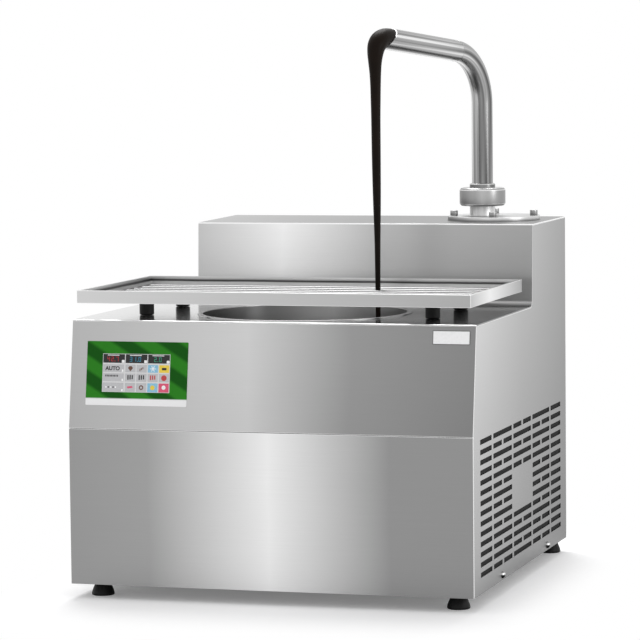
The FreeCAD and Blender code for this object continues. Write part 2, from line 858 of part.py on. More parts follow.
def make_side_panels():
    right = padded("right_sheet", "YZ_Plane", [
        ("front + sheet", "foot_height"),
        ("rear - sheet", "foot_height"),
        ("rear - sheet", "top_under"),
        (hump_at("top_under") + " + sheet", "top_under"),
        (hump_at("deck_under") + " + sheet", "deck_under"),
        (front_at("deck_under") + " + sheet", "deck_under"),
        ("front + sheet", "seam_height"),
    ], "side_in", "sheet")
    rounded(right, [
        ("deck_bend + sheet", {"ZMin": "deck_under", "ZMax": "deck_under",
                               "YMin": hump_at("deck_under") + " + sheet",
                               "YMax": hump_at("deck_under") + " + sheet"}),
    ])
    slots = [
        box("slot_" + name, ("side_in - %d" % MARGIN, y, z),
            ("sheet + 2 * %d" % MARGIN, length, "slot_height"))
        for name, y, z, length in slot_rows()
    ]
    keep("right_side_panel", cut("right_side_panel", right, slots + side_holes("right_hole", "dome_shank")))

    left = padded("left_sheet", "YZ_Plane", [
        ("front + sheet", "foot_height"),
        ("rear - sheet", "foot_height"),
        ("rear - sheet", "deck_under"),
        (front_at("deck_under") + " + sheet", "deck_under"),
        ("front + sheet", "seam_height"),
    ], "-half_width", "sheet")
    keep("left_side_panel", cut("left_side_panel", left, side_holes("left_hole", "dome_shank")))


def make_rear_panel():
    lower = box("rear_lower", ("-half_width", "rear - sheet", "foot_height"),
                ("width", "sheet", "deck_height - foot_height"))
    upper = box("rear_upper", ("hump_left_rear", "rear - sheet", "deck_height"),
                ("half_width - hump_left_rear", "sheet", "hump_rise - sheet"))
    vents = [
        box("rear_slot_%d" % index,
            ("rear_slot_setover - rear_slot_length / 2", "rear - %d" % MARGIN,
             "slot_first_height + 2 * slot_pitch + %d * slot_pitch" % index),
            ("rear_slot_length", 2 * MARGIN, "slot_height"))
        for index in range(int(number("rear_slots")))
    ]
    socket = box("socket_window", ("inlet_over - socket_width / 2", "rear - %d" % MARGIN,
                                   "inlet_height - socket_height / 2"),
                 ("socket_width", 2 * MARGIN, "socket_height"))
    switch = box("switch_window", ("switch_over - switch_width / 2", "rear - %d" % MARGIN,
                                   "inlet_height - switch_height / 2"),
                 ("switch_width", 2 * MARGIN, "switch_height"))
    tools = vents + [socket, switch] + rear_holes("rear_hole", "dome_shank")
    keep("rear_panel", cut("rear_panel", join("rear_whole", [lower, upper]), tools))


def make_panel_screws():
    screws = []
    for index, y in enumerate(SIDE_SCREWS):
        screws.append(dome_screw("right_screw_%d" % index, ("half_width", y, "dome_height"), ("x", 1)))
        screws.append(dome_screw("left_screw_%d" % index, ("-half_width", y, "dome_height"), ("x", -1)))
    for index, x in enumerate(REAR_SCREWS):
        screws.append(dome_screw("rear_screw_%d" % index, (x, "rear", "dome_height"), ("y", 1)))
    keep("panel_screws", group("panel_screws", screws))


def make_feet():
    pad_top = "foot_height - fit_gap"
    stem_top = "foot_height - fit_gap + stem_length"
    for corner, (x, y) in FEET.items():
        name = "foot_" + corner
        foot = turned(name, [
            (0, 0),
            ("pad_radius - 1", 0),
            ("pad_radius", 1),
            ("pad_radius", 4),
            ("pad_top_radius", pad_top),
            ("stem_radius", pad_top),
            ("stem_radius", stem_top),
            (0, stem_top),
        ], (x, y, 0))
        keep(name, foot)
    nuts = [
        turned("nut_" + corner, [
            ("stem_radius + running_gap", "pan_top"),
            ("nut_radius", "pan_top"),
            ("nut_radius", "pan_top + nut_height"),
            ("stem_radius + running_gap", "pan_top + nut_height"),
        ], (x, y, 0))
        for corner, (x, y) in FEET.items()
    ]
    keep("foot_nuts", group("foot_nuts", nuts))


# ---------------------------------------------------------------- bowl and stirrer

def make_bowl():
    shell = turned("bowl_shell", [
        ("seal_radius", "bowl_under"),
        ("bowl_outer", "bowl_under"),
        ("bowl_outer", "deck_height"),
        ("rim_radius", "deck_height"),
        ("rim_radius", "rim_top"),
        ("bowl_radius", "rim_top"),
        ("bowl_radius", "bowl_inside"),
        ("seal_radius", "bowl_inside"),
    ], ("bowl_over", "bowl_y", 0))
    rounded(shell, [
        ("bowl_corner + bowl_wall", {"XMax": "bowl_outer", "ZMin": "bowl_under", "ZMax": "bowl_under"}),
        ("bowl_corner", {"XMax": "bowl_radius", "ZMin": "bowl_inside", "ZMax": "bowl_inside"}),
        ("rim_rise / 2", {"XMax": "rim_radius", "ZMin": "rim_top", "ZMax": "rim_top"}),
        ("rim_rise / 2", {"XMax": "bowl_radius", "ZMin": "rim_top", "ZMax": "rim_top"}),
    ])
    outlet = rod("bowl_outlet", ("outlet_x", "outlet_y", "bowl_under - %d" % MARGIN), "feed_bore",
                 "bowl_wall + 2 * %d" % MARGIN)
    keep("bowl", cut("bowl", shell, [outlet]))


def ring(name, inner, outer, start, height, at=("bowl_over", "bowl_y", 0)):
    """A plain ring about a vertical axis."""
    end = "(%s) + (%s)" % (start, height)
    return turned(name, [(inner, start), (outer, start), (outer, end), (inner, end)], at)


def make_bowl_jacket():
    keep("bowl_heater", ring("bowl_heater", "bowl_outer", "heater_outer", "heater_start", "heater_height"))
    keep("bowl_insulation", ring("bowl_insulation", "heater_outer + fit_gap",
                                 "heater_outer + insulation_wall", "insulation_start", "insulation_height"))
    keep("bowl_seal", turned("bowl_seal", [
        ("shaft_radius + running_gap", "bowl_under - bowl_wall"),
        ("seal_radius + bowl_wall", "bowl_under - bowl_wall"),
        ("seal_radius + bowl_wall", "bowl_under"),
        ("seal_radius", "bowl_under"),
        ("seal_radius", "bowl_inside"),
        ("shaft_radius + running_gap", "bowl_inside"),
    ], ("bowl_over", "bowl_y", 0)))
    keep("chocolate_fill", turned("chocolate_fill", [
        ("hub_radius + fit_gap", "chocolate_level - chocolate_crust"),
        ("bowl_radius - chocolate_ring", "chocolate_level - chocolate_crust"),
        ("bowl_radius - chocolate_ring", "bowl_inside + bowl_corner + chocolate_ring"),
        ("bowl_radius - fit_gap", "bowl_inside + bowl_corner + chocolate_ring"),
        ("bowl_radius - fit_gap", "chocolate_level"),
        ("hub_radius + fit_gap", "chocolate_level"),
    ], ("bowl_over", "bowl_y", 0)))


def make_stirrer():
    floor = "bowl_inside + bowl_wall"
    at = ("bowl_over", "bowl_y", 0)
    hub = turned("stirrer_hub", [
        (0, "arm_start + arm_height"),
        ("shaft_radius", "arm_start + arm_height"),
        ("shaft_radius", floor),
        ("hub_radius", floor),
        ("hub_radius", "hub_top - bowl_wall"),
        ("hub_radius - bowl_wall", "hub_top"),
        (0, "hub_top"),
    ], at)
    pieces = [hub]
    for side in (-1, 1):
        inner = "bowl_over + hub_radius - 1" if side == 1 else "bowl_over - arm_length"
        pieces.append(box("arm_%d" % (side + 1), (inner, "bowl_y - arm_thick / 2", "arm_start"),
                          ("arm_length - hub_radius + 1", "arm_thick", "arm_height")))
        tip = "bowl_over + %d * (arm_length - paddle_width / 2) - paddle_width / 2" % side
        pieces.append(box("paddle_%d" % (side + 1), (tip, "bowl_y - arm_thick / 2", "arm_start"),
                          ("paddle_width", "arm_thick", "paddle_height")))
        inner = "bowl_y + hub_radius - 1" if side == 1 else "bowl_y - scraper_length"
        pieces.append(box("scraper_%d" % (side + 1), ("bowl_over - arm_thick / 2", inner, floor),
                          ("arm_thick", "scraper_length - hub_radius + 1", "paddle_width")))
    keep("stirrer", join("stirrer", pieces))
    gear_top = "bridge_height - bridge_plate"
    keep("stirrer_shaft", rod("stirrer_shaft", ("bowl_over", "bowl_y", gear_top + " - arm_height"),
                              "shaft_radius", "arm_start + 2 * arm_height - (%s)" % gear_top))


def make_stirrer_drive():
    half = "bridge_width / 2"
    outer = box("bridge_outer", ("bowl_over - " + half, "bowl_y - bridge_depth / 2", "pan_top"),
                ("bridge_width", "bridge_depth", "bridge_height - pan_top"))
    inner = box("bridge_inner", ("bowl_over - %s + bridge_plate" % half,
                                 "bowl_y - bridge_depth / 2 - %d" % MARGIN, "pan_top - %d" % MARGIN),
                ("bridge_width - 2 * bridge_plate", "bridge_depth + 2 * %d" % MARGIN,
                 "bridge_height - bridge_plate - pan_top + %d" % MARGIN))
    hole = rod("bridge_hole", ("bowl_over", "bowl_y", "bridge_height - 2 * %d" % MARGIN),
               "shaft_radius + bridge_plate", 3 * MARGIN)
    keep("motor_bridge", cut("motor_bridge", outer, [inner, hole]))
    top = "bridge_height - bridge_plate"
    bottom = "%s - stirrer_gear_height" % top
    keep("stirrer_gearbox", turned("stirrer_gearbox", [
        (0, bottom),
        ("stirrer_gear_radius", bottom),
        ("stirrer_gear_radius", top),
        ("shaft_radius + running_gap", top),
        ("shaft_radius + running_gap", top + " - arm_height - fit_gap"),
        (0, top + " - arm_height - fit_gap"),
    ], ("bowl_over", "bowl_y", 0)))
    foot = "%s - stirrer_motor_height" % bottom
    keep("stirrer_motor", turned("stirrer_motor", [
        (0, foot),
        ("stirrer_motor_radius - bridge_plate", foot),
        ("stirrer_motor_radius", foot + " + bridge_plate"),
        ("stirrer_motor_radius", bottom),
        (0, bottom),
    ], ("bowl_over", "bowl_y", 0)))


# ---------------------------------------------------------------- pump

def make_feed_pipe():
    run = [
        (0, "bowl_under"),
        (0, "feed_height + feed_bend"),
        ("feed_bend", "feed_height + feed_bend"),
        ("feed_bend", "feed_height"),
        ("feed_run - outlet_offset", "feed_height"),
    ]
    pipe = elbow("feed_tube", ("feed_radius", "feed_bore"), run)
    beyond = rod("feed_end", ("feed_run - outlet_offset", 0, "feed_height - 2 * feed_radius"),
                 "housing_radius", "4 * feed_radius")
    keep("feed_pipe", locate(cut("feed_pipe", pipe, [beyond]), ("outlet_x", "outlet_y", 0),
                             ("z", "feed_angle")))


def make_pump():
    at = ("pump_over", "pump_y", 0)
    tube = ring("housing_tube", "housing_bore", "housing_radius", "housing_start",
                "top_height - housing_start", (0, 0, 0))
    port = rod("housing_port", ("-housing_radius - %d" % MARGIN, 0, "feed_height"), "feed_bore",
               "housing_radius + %d" % MARGIN, "x")
    keep("pump_housing", locate(cut("pump_housing", tube, [port]), at, ("z", "feed_angle")))

    start = "housing_start + flight_pitch / 2"
    length = "top_height - housing_start - flight_pitch"
    core = rod("screw_core", (0, 0, "bearing_start"), "screw_shaft",
               "top_height - bearing_start - flight_pitch / 4")
    flight = wound("screw_flight", lambda sketch: polygon(sketch, [
        ("screw_shaft - 1", 0),
        ("flight_radius", 0),
        ("flight_radius", "flight_thick"),
        ("screw_shaft - 1", "flight_thick"),
    ]), "flight_pitch", length, (0, 0, start))
    keep("pump_screw", locate(join("pump_screw", [core, flight]), at))

    keep("pump_bearing_block", turned("pump_bearing_block", [
        ("lantern_radius - lantern_wall", "gear_height"),
        ("lantern_radius", "gear_height"),
        ("lantern_radius", "housing_start"),
        ("screw_shaft + running_gap", "housing_start"),
        ("screw_shaft + running_gap", "bearing_start"),
        ("lantern_radius - lantern_wall", "bearing_start"),
    ], at))
    keep("pump_coupling", turned("pump_coupling", [
        (0, "gear_height - coupling_height"),
        ("screw_shaft", "gear_height - coupling_height"),
        ("screw_shaft", "gear_height + fit_gap"),
        ("coupling_radius", "gear_height + fit_gap"),
        ("coupling_radius", "gear_height + fit_gap + coupling_height"),
        ("screw_shaft", "gear_height + fit_gap + coupling_height"),
        ("screw_shaft", "bearing_start"),
        (0, "bearing_start"),
    ], at))


def make_pump_drive():
    half = "gear_size / 2"
    block = box("gear_block", ("pump_over - " + half, "pump_y - " + half, "pan_top"),
                ("gear_size", "gear_size", "gear_height - pan_top"))
    foot = box("gear_plate", ("pump_over - %s - 2 * gear_foot" % half, "pump_y - " + half, "pan_top"),
               ("gear_size + 4 * gear_foot", "gear_size", "gear_foot"))
    bore = rod("gear_bore", ("pump_over", "pump_y", "gear_height - coupling_height - fit_gap"),
               "screw_shaft + running_gap", "2 * coupling_height")
    keep("pump_gearbox", cut("pump_gearbox", join("gear_whole", [block, foot]), [bore]))
    middle = "gear_height - gear_size / 2"
    keep("pump_motor", rod("pump_motor", ("pump_over - %s - pump_motor_length" % half, "pump_y", middle),
                           "pump_motor_radius", "pump_motor_length", "x"))


# ---------------------------------------------------------------- spout

def make_flange():
    plate = rod("flange_disc", ("flange_over", "flange_y", "top_height"), "flange_radius", "flange_thick")
    neck = turned("flange_neck", [
        (0, "top_height"),
        ("neck_radius", "top_height"),
        ("neck_radius", "thread_start"),
        ("thread_radius", "thread_start"),
        ("thread_radius", "gasket_start"),
        (0, "gasket_start"),
    ], ("pump_over", "pump_y", 0))
    bore = rod("flange_bore", ("pump_over", "pump_y", "top_height - %d" % MARGIN), "tube_bore",
               "gasket_start - top_height + 2 * %d" % MARGIN)
    holes = flange_holes("flange_hole", "cap_shank", "top_height - %d" % MARGIN,
                         "flange_thick + 2 * %d" % MARGIN)
    keep("flange_plate", cut("flange_plate", join("flange_whole", [plate, neck]), [bore] + holes))

    screws = []
    for index, (x, y) in enumerate(cap_screw_places()):
        head = rod("cap_head_%d" % index, (x, y, "flange_top"), "cap_radius", "cap_height")
        shank = rod("cap_shank_%d" % index, (x, y, "top_under - cap_height"), "cap_shank",
                    "flange_top - top_under + cap_height + 1")
        socket = rod("cap_socket_%d" % index, (x, y, "flange_top + cap_height / 2"), "cap_radius / 2",
                     "cap_height")
        screws.append(cut("cap_screw_%d" % index, join("cap_%d" % index, [head, shank]), [socket]))
    keep("flange_screws", group("flange_screws", screws))


def make_union():
    at = ("pump_over", "pump_y", 0)
    keep("union_nut", turned("union_nut", [
        ("thread_radius + fit_gap", "nut_start"),
        ("nut_outer - nut_chamfer", "nut_start"),
        ("nut_outer", "nut_start + nut_chamfer"),
        ("nut_outer", "nut_end - nut_chamfer"),
        ("nut_outer - nut_chamfer", "nut_end"),
        ("neck_radius + fit_gap", "nut_end"),
        ("neck_radius + fit_gap", "nut_end - nut_lip"),
        ("thread_radius + fit_gap", "nut_end - nut_lip"),
    ], at))
    keep("union_gasket", ring("union_gasket", "tube_radius", "thread_radius - bowl_wall", "gasket_start",
                              "gasket_thick", at))
    keep("spout_collar", turned("spout_collar", [
        ("tube_radius", "collar_start"),
        ("thread_radius - bowl_wall", "collar_start"),
        ("thread_radius - bowl_wall", "collar_step"),
        ("neck_radius", "collar_step"),
        ("neck_radius", "nut_end + collar_rise - 1"),
        ("neck_radius - 1", "nut_end + collar_rise"),
        ("tube_radius", "nut_end + collar_rise"),
    ], at))


def mouth_tool(name, shift):
    """A block beyond the slanted mouth, shifted outwards along its own direction."""
    half = "2 * tube_radius + %d" % MARGIN
    corner = (
        "mouth_x + (%s) * sin(mouth_angle) + (%s) * cos(mouth_angle)" % (half, shift),
        "-(%s)" % half,
        "mouth_z - (%s) * cos(mouth_angle) + (%s) * sin(mouth_angle)" % (half, shift),
    )
    size = "2 * (%s)" % half
    return box(name, corner, (size, size, size), ("y", "-mouth_angle"))


def spout_run(start, beyond):
    """The spout's centre line in its own plane."""
    return [
        (0, start),
        (0, "tube_corner - bend_cut"),
        ("tube_bend", "tube_corner - bend_cut"),
        ("bend_cut * cos(tube_climb)", "tube_corner + bend_cut * sin(tube_climb)"),
        ("mouth_x + (%s) * cos(tube_climb)" % beyond, "mouth_z + (%s) * sin(tube_climb)" % beyond),
    ]


def make_spout():
    tube = elbow("spout_pipe", ("tube_radius", "tube_bore"), spout_run("collar_start", "2 * tube_radius"))
    keep("spout_tube", locate(cut("spout_tube", tube, [mouth_tool("mouth_cut", 0)]),
                              ("pump_over", "pump_y", 0), ("z", "spout_turn")))


def make_stream():
    """Chocolate that fills the end of the spout, runs over its lower lip and falls into the bowl."""
    length = "tube_arm / 4"
    arm_start = ("mouth_x - %s * cos(tube_climb)" % length, 0, "mouth_z - %s * sin(tube_climb)" % length)
    climb = ("y", "-tube_climb")
    reach = length + " + 2 * tube_radius"
    slug_radius = "(tube_bore - fit_gap)"
    slug = padded("slug_pad", "YZ_Plane", [
        ("-tube_bore", "-tube_bore"),
        ("tube_bore", "-tube_bore"),
        ("tube_bore", 0),
        ("-tube_bore", 0),
    ], 0, reach)
    filled = locate(common("slug", rod("slug_round", (0, 0, 0), slug_radius, reach, "x"), slug),
                    arm_start, climb)
    inside = cut("slug_end", filled, [mouth_tool("slug_cut", "stream_top / 2")])
    lip = doc.addObject("Part::Ellipsoid", "stream_lip")
    lip.setExpression("Radius1", rule("stream_top * 1.86"))
    lip.setExpression("Radius2", rule("stream_top * 1.4"))
    lip.setExpression("Radius3", rule("stream_top * 1.7"))
    locate(lip, ("stream_reach - stream_top / 2", 0, "stream_start"))
    fall = cone("stream_fall", ("stream_reach", 0, "chocolate_level + fit_gap"),
                ("stream_foot", "stream_top"), "stream_start - chocolate_level - fit_gap")
    whole = join("stream_whole", [inside, lip, fall])
    around = rod("lip_around", (0, 0, 0), "tube_radius + fit_gap", reach, "x")
    within = rod("lip_within", (0, 0, 0), "tube_bore - fit_gap / 2", reach, "x")
    wall = cut("lip_wall", locate(cut("lip_tube", around, [within]), arm_start, climb),
               [mouth_tool("lip_mouth", "fit_gap")])
    keep("chocolate_stream", locate(cut("chocolate_stream", whole, [wall]), ("pump_over", "pump_y", 0),
                                    ("z", "spout_turn")))


# ---------------------------------------------------------------- moulding frame

BARS = ("bar_left", "bar_right")


def tray_screw_places():
    """(x, y) of the feet and screws of the moulding frame."""
    return [(x, "front + " + setback) for x in BARS for setback in ("tray_foot_front", "tray_foot_rear")]


def make_tray_frame():
    outer = box("tray_outer", ("tray_left", "tray_front", "tray_height"),
                ("tray_width", "tray_depth", "tray_rise"))
    tools = []
    bands = (
        ("through", "tray_wall", "tray_height - %d" % MARGIN),
        ("middle", "tray_rim + tray_ledge", "tray_top - tray_top_band - tray_middle_band"),
        ("upper", "tray_rim", "tray_top - tray_top_band"),
    )
    for name, inset, start in bands:
        tools.append(box("tray_" + name, ("tray_left + " + inset, "tray_front + " + inset, start),
                         ("tray_width - 2 * (%s)" % inset, "tray_depth - 2 * (%s)" % inset,
                          "tray_top - (%s) + %d" % (start, MARGIN))))
    keep("tray_frame", cut("tray_frame", outer, tools))


def make_tray_grid():
    pieces = [
        box("grid_bar_%d" % index, (x + " - bar_width / 2", "bar_start", "bar_base"),
            ("bar_width", "tray_front + tray_depth - tray_wall - bar_start", "bar_thick"))
        for index, x in enumerate(BARS)
    ]
    for index in range(int(number("grid_rods"))):
        y = "front + grid_first_setback + %d * grid_pitch" % index
        pieces.append(rod("grid_rod_%d" % index, ("tray_left + tray_wall", y, "bar_top + grid_rod - weld"),
                          "grid_rod", "tray_width - 2 * tray_wall", "x"))
    holes = [
        rod("grid_hole_%d" % index, (x, y, "bar_base - %d" % MARGIN), "tray_screw_shank",
            "bar_thick + 2 * %d" % MARGIN)
        for index, (x, y) in enumerate(tray_screw_places())
    ]
    keep("tray_grid", cut("tray_grid", join("grid_whole", pieces), holes))


def make_tray_feet():
    feet = []
    screws = []
    base = "deck_height + fit_gap"
    for index, (x, y) in enumerate(tray_screw_places()):
        foot = turned("tray_foot_%d" % index, [
            (0, base),
            ("tray_foot_radius", base),
            ("tray_foot_radius", "bar_base"),
            ("tray_screw_shank", "bar_base"),
            ("tray_screw_shank", "bar_top - tray_screw_length"),
            (0, "bar_top - tray_screw_length"),
        ], (x, y, 0))
        rounded(foot, [("tray_foot_round", {"XMax": "tray_foot_radius", "ZMin": base, "ZMax": base})])
        feet.append(foot)
        screws.append(turned("tray_screw_%d" % index, [
            (0, "bar_top - tray_screw_length"),
            ("tray_screw_shank", "bar_top - tray_screw_length"),
            ("tray_screw_shank", "bar_top"),
            ("tray_screw_head", "bar_top"),
            ("tray_screw_head * 0.7", "bar_top + tray_screw_shank"),
            (0, "bar_top + tray_screw_shank * 1.2"),
        ], (x, y, 0)))
    keep("tray_feet", group("tray_feet", feet))
    keep("tray_screws", group("tray_screws", screws))


# ---------------------------------------------------------------- electrical pieces

def make_touch_panel():
    keep("touch_overlay", leaning_box("touch_overlay", "overlay_over - overlay_width / 2", "-overlay_thick",
                                      "overlay_start", ("overlay_width", "overlay_thick", "overlay_height")))
    keep("display_module", leaning_box(
        "display_module", "display_over - display_width / 2", 0, "display_start",
        ("display_width", "display_depth", "display_height"),
    ))
    keep("badge", leaning_box("badge", "badge_over - badge_width / 2", "-badge_thick", "badge_start",
                              ("badge_width", "badge_thick", "badge_height")))


def make_electronics():
    keep("power_supply", box("power_supply", ("supply_inset - side_in", "front + supply_setback", "pan_top"),
                             ("supply_width", "supply_depth", "supply_height")))
    board = box("board_plate", ("board_spacer - side_in", "front + board_setback", "board_start"),
                ("board_thick", "board_depth", "board_height"))
    first = "front + board_setback + board_spacer"
    lowest = "board_start + board_spacer"
    spacers = [
        rod("board_spacer_%d" % (2 * row + column),
            ("-side_in", "%s + %d * (board_depth - 2 * board_spacer)" % (first, column),
             "%s + %d * (board_height - 2 * board_spacer)" % (lowest, row)),
            "board_thick", "board_spacer + board_thick / 2", "x")
        for row in range(2) for column in range(2)
    ]
    keep("control_board", join("control_board", [board] + spacers))


def make_power_inlet():
    bezel = box("inlet_bezel", ("inlet_over - bezel_width / 2", "rear", "inlet_height - bezel_height / 2"),
                ("bezel_width", "bezel_proud", "bezel_height"))
    body = box("inlet_body", ("inlet_over - socket_width / 2", "rear - socket_depth",
                              "inlet_height - socket_height / 2"),
               ("socket_width", "socket_depth + bezel_proud / 2", "socket_height"))
    recess = box("inlet_recess", ("inlet_over - socket_width / 2 + socket_wall",
                                  "rear - socket_depth + 2 * socket_wall",
                                  "inlet_height - socket_height / 2 + socket_wall"),
                 ("socket_width - 2 * socket_wall", "socket_depth + bezel_proud",
                  "socket_height - 2 * socket_wall"))
    shell = cut("inlet_shell", join("inlet_whole", [bezel, body]), [recess])
    pins = [
        box("inlet_pin_%d" % index, ("inlet_over + %d * socket_width / 4 - 1" % side,
                                     "rear - socket_depth + socket_wall",
                                     "inlet_height + %d * socket_height / 8 - 2" % rise),
            (2, "2 * socket_wall + pin_length", 4))
        for index, (side, rise) in enumerate(((-1, -1), (0, 1), (1, -1)))
    ]
    keep("power_inlet", join("power_inlet", [shell] + pins))


def make_main_switch():
    margin = "2 * socket_wall"
    bezel = box("switch_bezel", ("switch_over - switch_width / 2 - socket_wall", "rear",
                                 "inlet_height - switch_height / 2 - socket_wall"),
                ("switch_width + " + margin, "bezel_proud / 2", "switch_height + " + margin))
    body = box("switch_block", ("switch_over - switch_width / 2", "rear - switch_depth",
                                "inlet_height - switch_height / 2"),
               ("switch_width", "switch_depth + bezel_proud / 4", "switch_height"))
    recess = rod("switch_recess", ("switch_over - rocker_width / 2 - fit_gap", "pivot_y", "inlet_height"),
                 "rocker_radius + fit_gap", "rocker_width + 2 * fit_gap", "x")
    mouth = box("switch_mouth", ("switch_over - rocker_width / 2 - fit_gap", "pivot_y",
                                 "inlet_height - rocker_radius - fit_gap"),
                ("rocker_width + 2 * fit_gap", "rocker_radius + %d" % MARGIN,
                 "2 * (rocker_radius + fit_gap)"))
    keep("main_switch_body", cut("main_switch_body", join("switch_whole", [bezel, body]), [recess, mouth]))

    drum = rod("rocker_drum", ("switch_over - rocker_width / 2", "pivot_y", "inlet_height"),
               "rocker_radius", "rocker_width", "x")
    reach = "2 * rocker_radius"
    out = "rocker_face * cos(rocker_tilt) + %s * sin(rocker_tilt)" % reach
    up = "rocker_face * sin(rocker_tilt) - %s * cos(rocker_tilt)" % reach
    facet = box("rocker_facet", ("switch_over - rocker_width", "pivot_y + " + out, "inlet_height + " + up),
                ("2 * rocker_width", reach, "2 * " + reach), ("x", "rocker_tilt"))
    keep("main_switch_rocker", cut("main_switch_rocker", drum, [facet]))


# ---------------------------------------------------------------- cooling

def make_compressor():
    at = ("compressor_over", "compressor_y", 0)
    shoulder = "compressor_radius * 0.8"
    shell = turned("compressor_shell", [
        (0, "compressor_start"),
        (shoulder, "compressor_start"),
        ("compressor_radius", "compressor_start + mount_radius"),
        ("compressor_radius", "compressor_top - 2 * mount_radius"),
        (shoulder, "compressor_top - mount_radius / 2"),
        ("mount_radius", "compressor_top"),
        (0, "compressor_top"),
    ], at)
    reach = "mount_offset + mount_radius"
    foot = box("compressor_plate", ("compressor_over - (%s)" % reach, "compressor_y - (%s)" % reach,
                                    "compressor_start"),
               ("2 * (%s)" % reach, "2 * (%s)" % reach, "compressor_foot"))
    keep("compressor", join("compressor", [shell, foot]))
    mounts = [
        rod("mount_%d_%d" % (over + 1, back + 1),
            ("compressor_over + %d * mount_offset" % over, "compressor_y + %d * mount_offset" % back,
             "pan_top"), "mount_radius", "compressor_start - pan_top")
        for over in (-1, 1) for back in (-1, 1)
    ]
    keep("compressor_mounts", group("compressor_mounts", mounts))
    keep("cooling_coil", wound("cooling_coil",
                               lambda sketch: circle(sketch, "coil_tube", ("coil_radius", 0)),
                               "coil_pitch", "coil_pitch * coil_turns",
                               ("pump_over", "pump_y", "coil_start")))


def make_condenser():
    core = box("condenser_core", ("condenser_x", "condenser_y", "pan_top"),
               ("condenser_thick", "condenser_length", "condenser_height"))
    step = "(condenser_length / fin_count)"
    grooves = [
        box("fin_%d" % index, ("condenser_x + condenser_thick - fin_depth",
                               "condenser_y + %d * %s + (%s - fin_slot) / 2" % (index, step, step),
                               "pan_top + fin_depth"),
            ("fin_depth + %d" % MARGIN, "fin_slot", "condenser_height - 2 * fin_depth"))
        for index in range(int(number("fin_count")))
    ]
    keep("condenser", cut("condenser", core, grooves))


def make_fan():
    plate = box("shroud_plate", ("shroud_x", "condenser_y", "pan_top"),
                ("shroud_gap", "condenser_length", "condenser_height"))
    hollow = box("shroud_hollow", ("shroud_x + sheet", "condenser_y + sheet", "pan_top + sheet"),
                 ("shroud_gap", "condenser_length - 2 * sheet", "condenser_height - 2 * sheet"))
    opening = rod("shroud_opening", ("shroud_x - %d" % MARGIN, "fan_y", "fan_height"),
                  "fan_radius + 2 * sheet", 3 * MARGIN, "x")
    shell = cut("shroud_shell", plate, [hollow, opening])
    reach = "(fan_radius + 2 * strap_width / 3)"
    strap_outer = box("strap_outer", ("strap_x - sheet", "fan_y - " + reach, "fan_height - strap_width / 2"),
                      ("shroud_x + sheet / 2 - strap_x + sheet", "2 * " + reach, "strap_width"))
    strap_inner = box("strap_inner", ("strap_x", "fan_y - %s + sheet" % reach, "fan_height - strap_width"),
                      ("shroud_x - strap_x + %d" % MARGIN, "2 * %s - 2 * sheet" % reach, "2 * strap_width"))
    strap = cut("strap", strap_outer, [strap_inner])
    keep("fan_shroud", join("fan_shroud", [shell, strap]))

    motor = rod("fan_can", ("strap_x", "fan_y", "fan_height"), "fan_motor_radius", "fan_motor_length", "x")
    bore = rod("fan_bore", ("strap_x + fan_motor_length / 2", "fan_y", "fan_height"),
               "fan_axle + running_gap", "fan_motor_length", "x")
    keep("fan_motor", cut("fan_motor", motor, [bore]))

    pieces = [
        rod("fan_boss", (0, 0, 0), "fan_hub", "fan_depth"),
        rod("fan_stub", (0, 0, "-2 * fan_axle - fan_motor_length / 3"), "fan_axle",
            "2 * fan_axle + fan_motor_length / 3 + 1"),
    ]
    blades = int(number("fan_blades"))
    for index in range(blades):
        flat = box("blade_flat_%d" % index, (0, "-fan_hub * 0.7", 0),
                   ("fan_radius - fan_hub / 2", "fan_hub * 1.4", "sheet"))
        pitched = group("blade_pitched_%d" % index, [flat])
        locate(pitched, (0, 0, 0), ("x", "fan_pitch"))
        arm = group("blade_%d" % index, [pitched])
        angle = "%g" % (360 * index / blades)
        locate(arm, ("fan_hub / 2 * cos(%s)" % angle, "fan_hub / 2 * sin(%s)" % angle, "fan_depth / 2"),
               ("z", angle))
        pieces.append(arm)
    keep("fan_blade", locate(join("fan_blade", pieces), ("fan_x", "fan_y", "fan_height"), ("y", 90)))


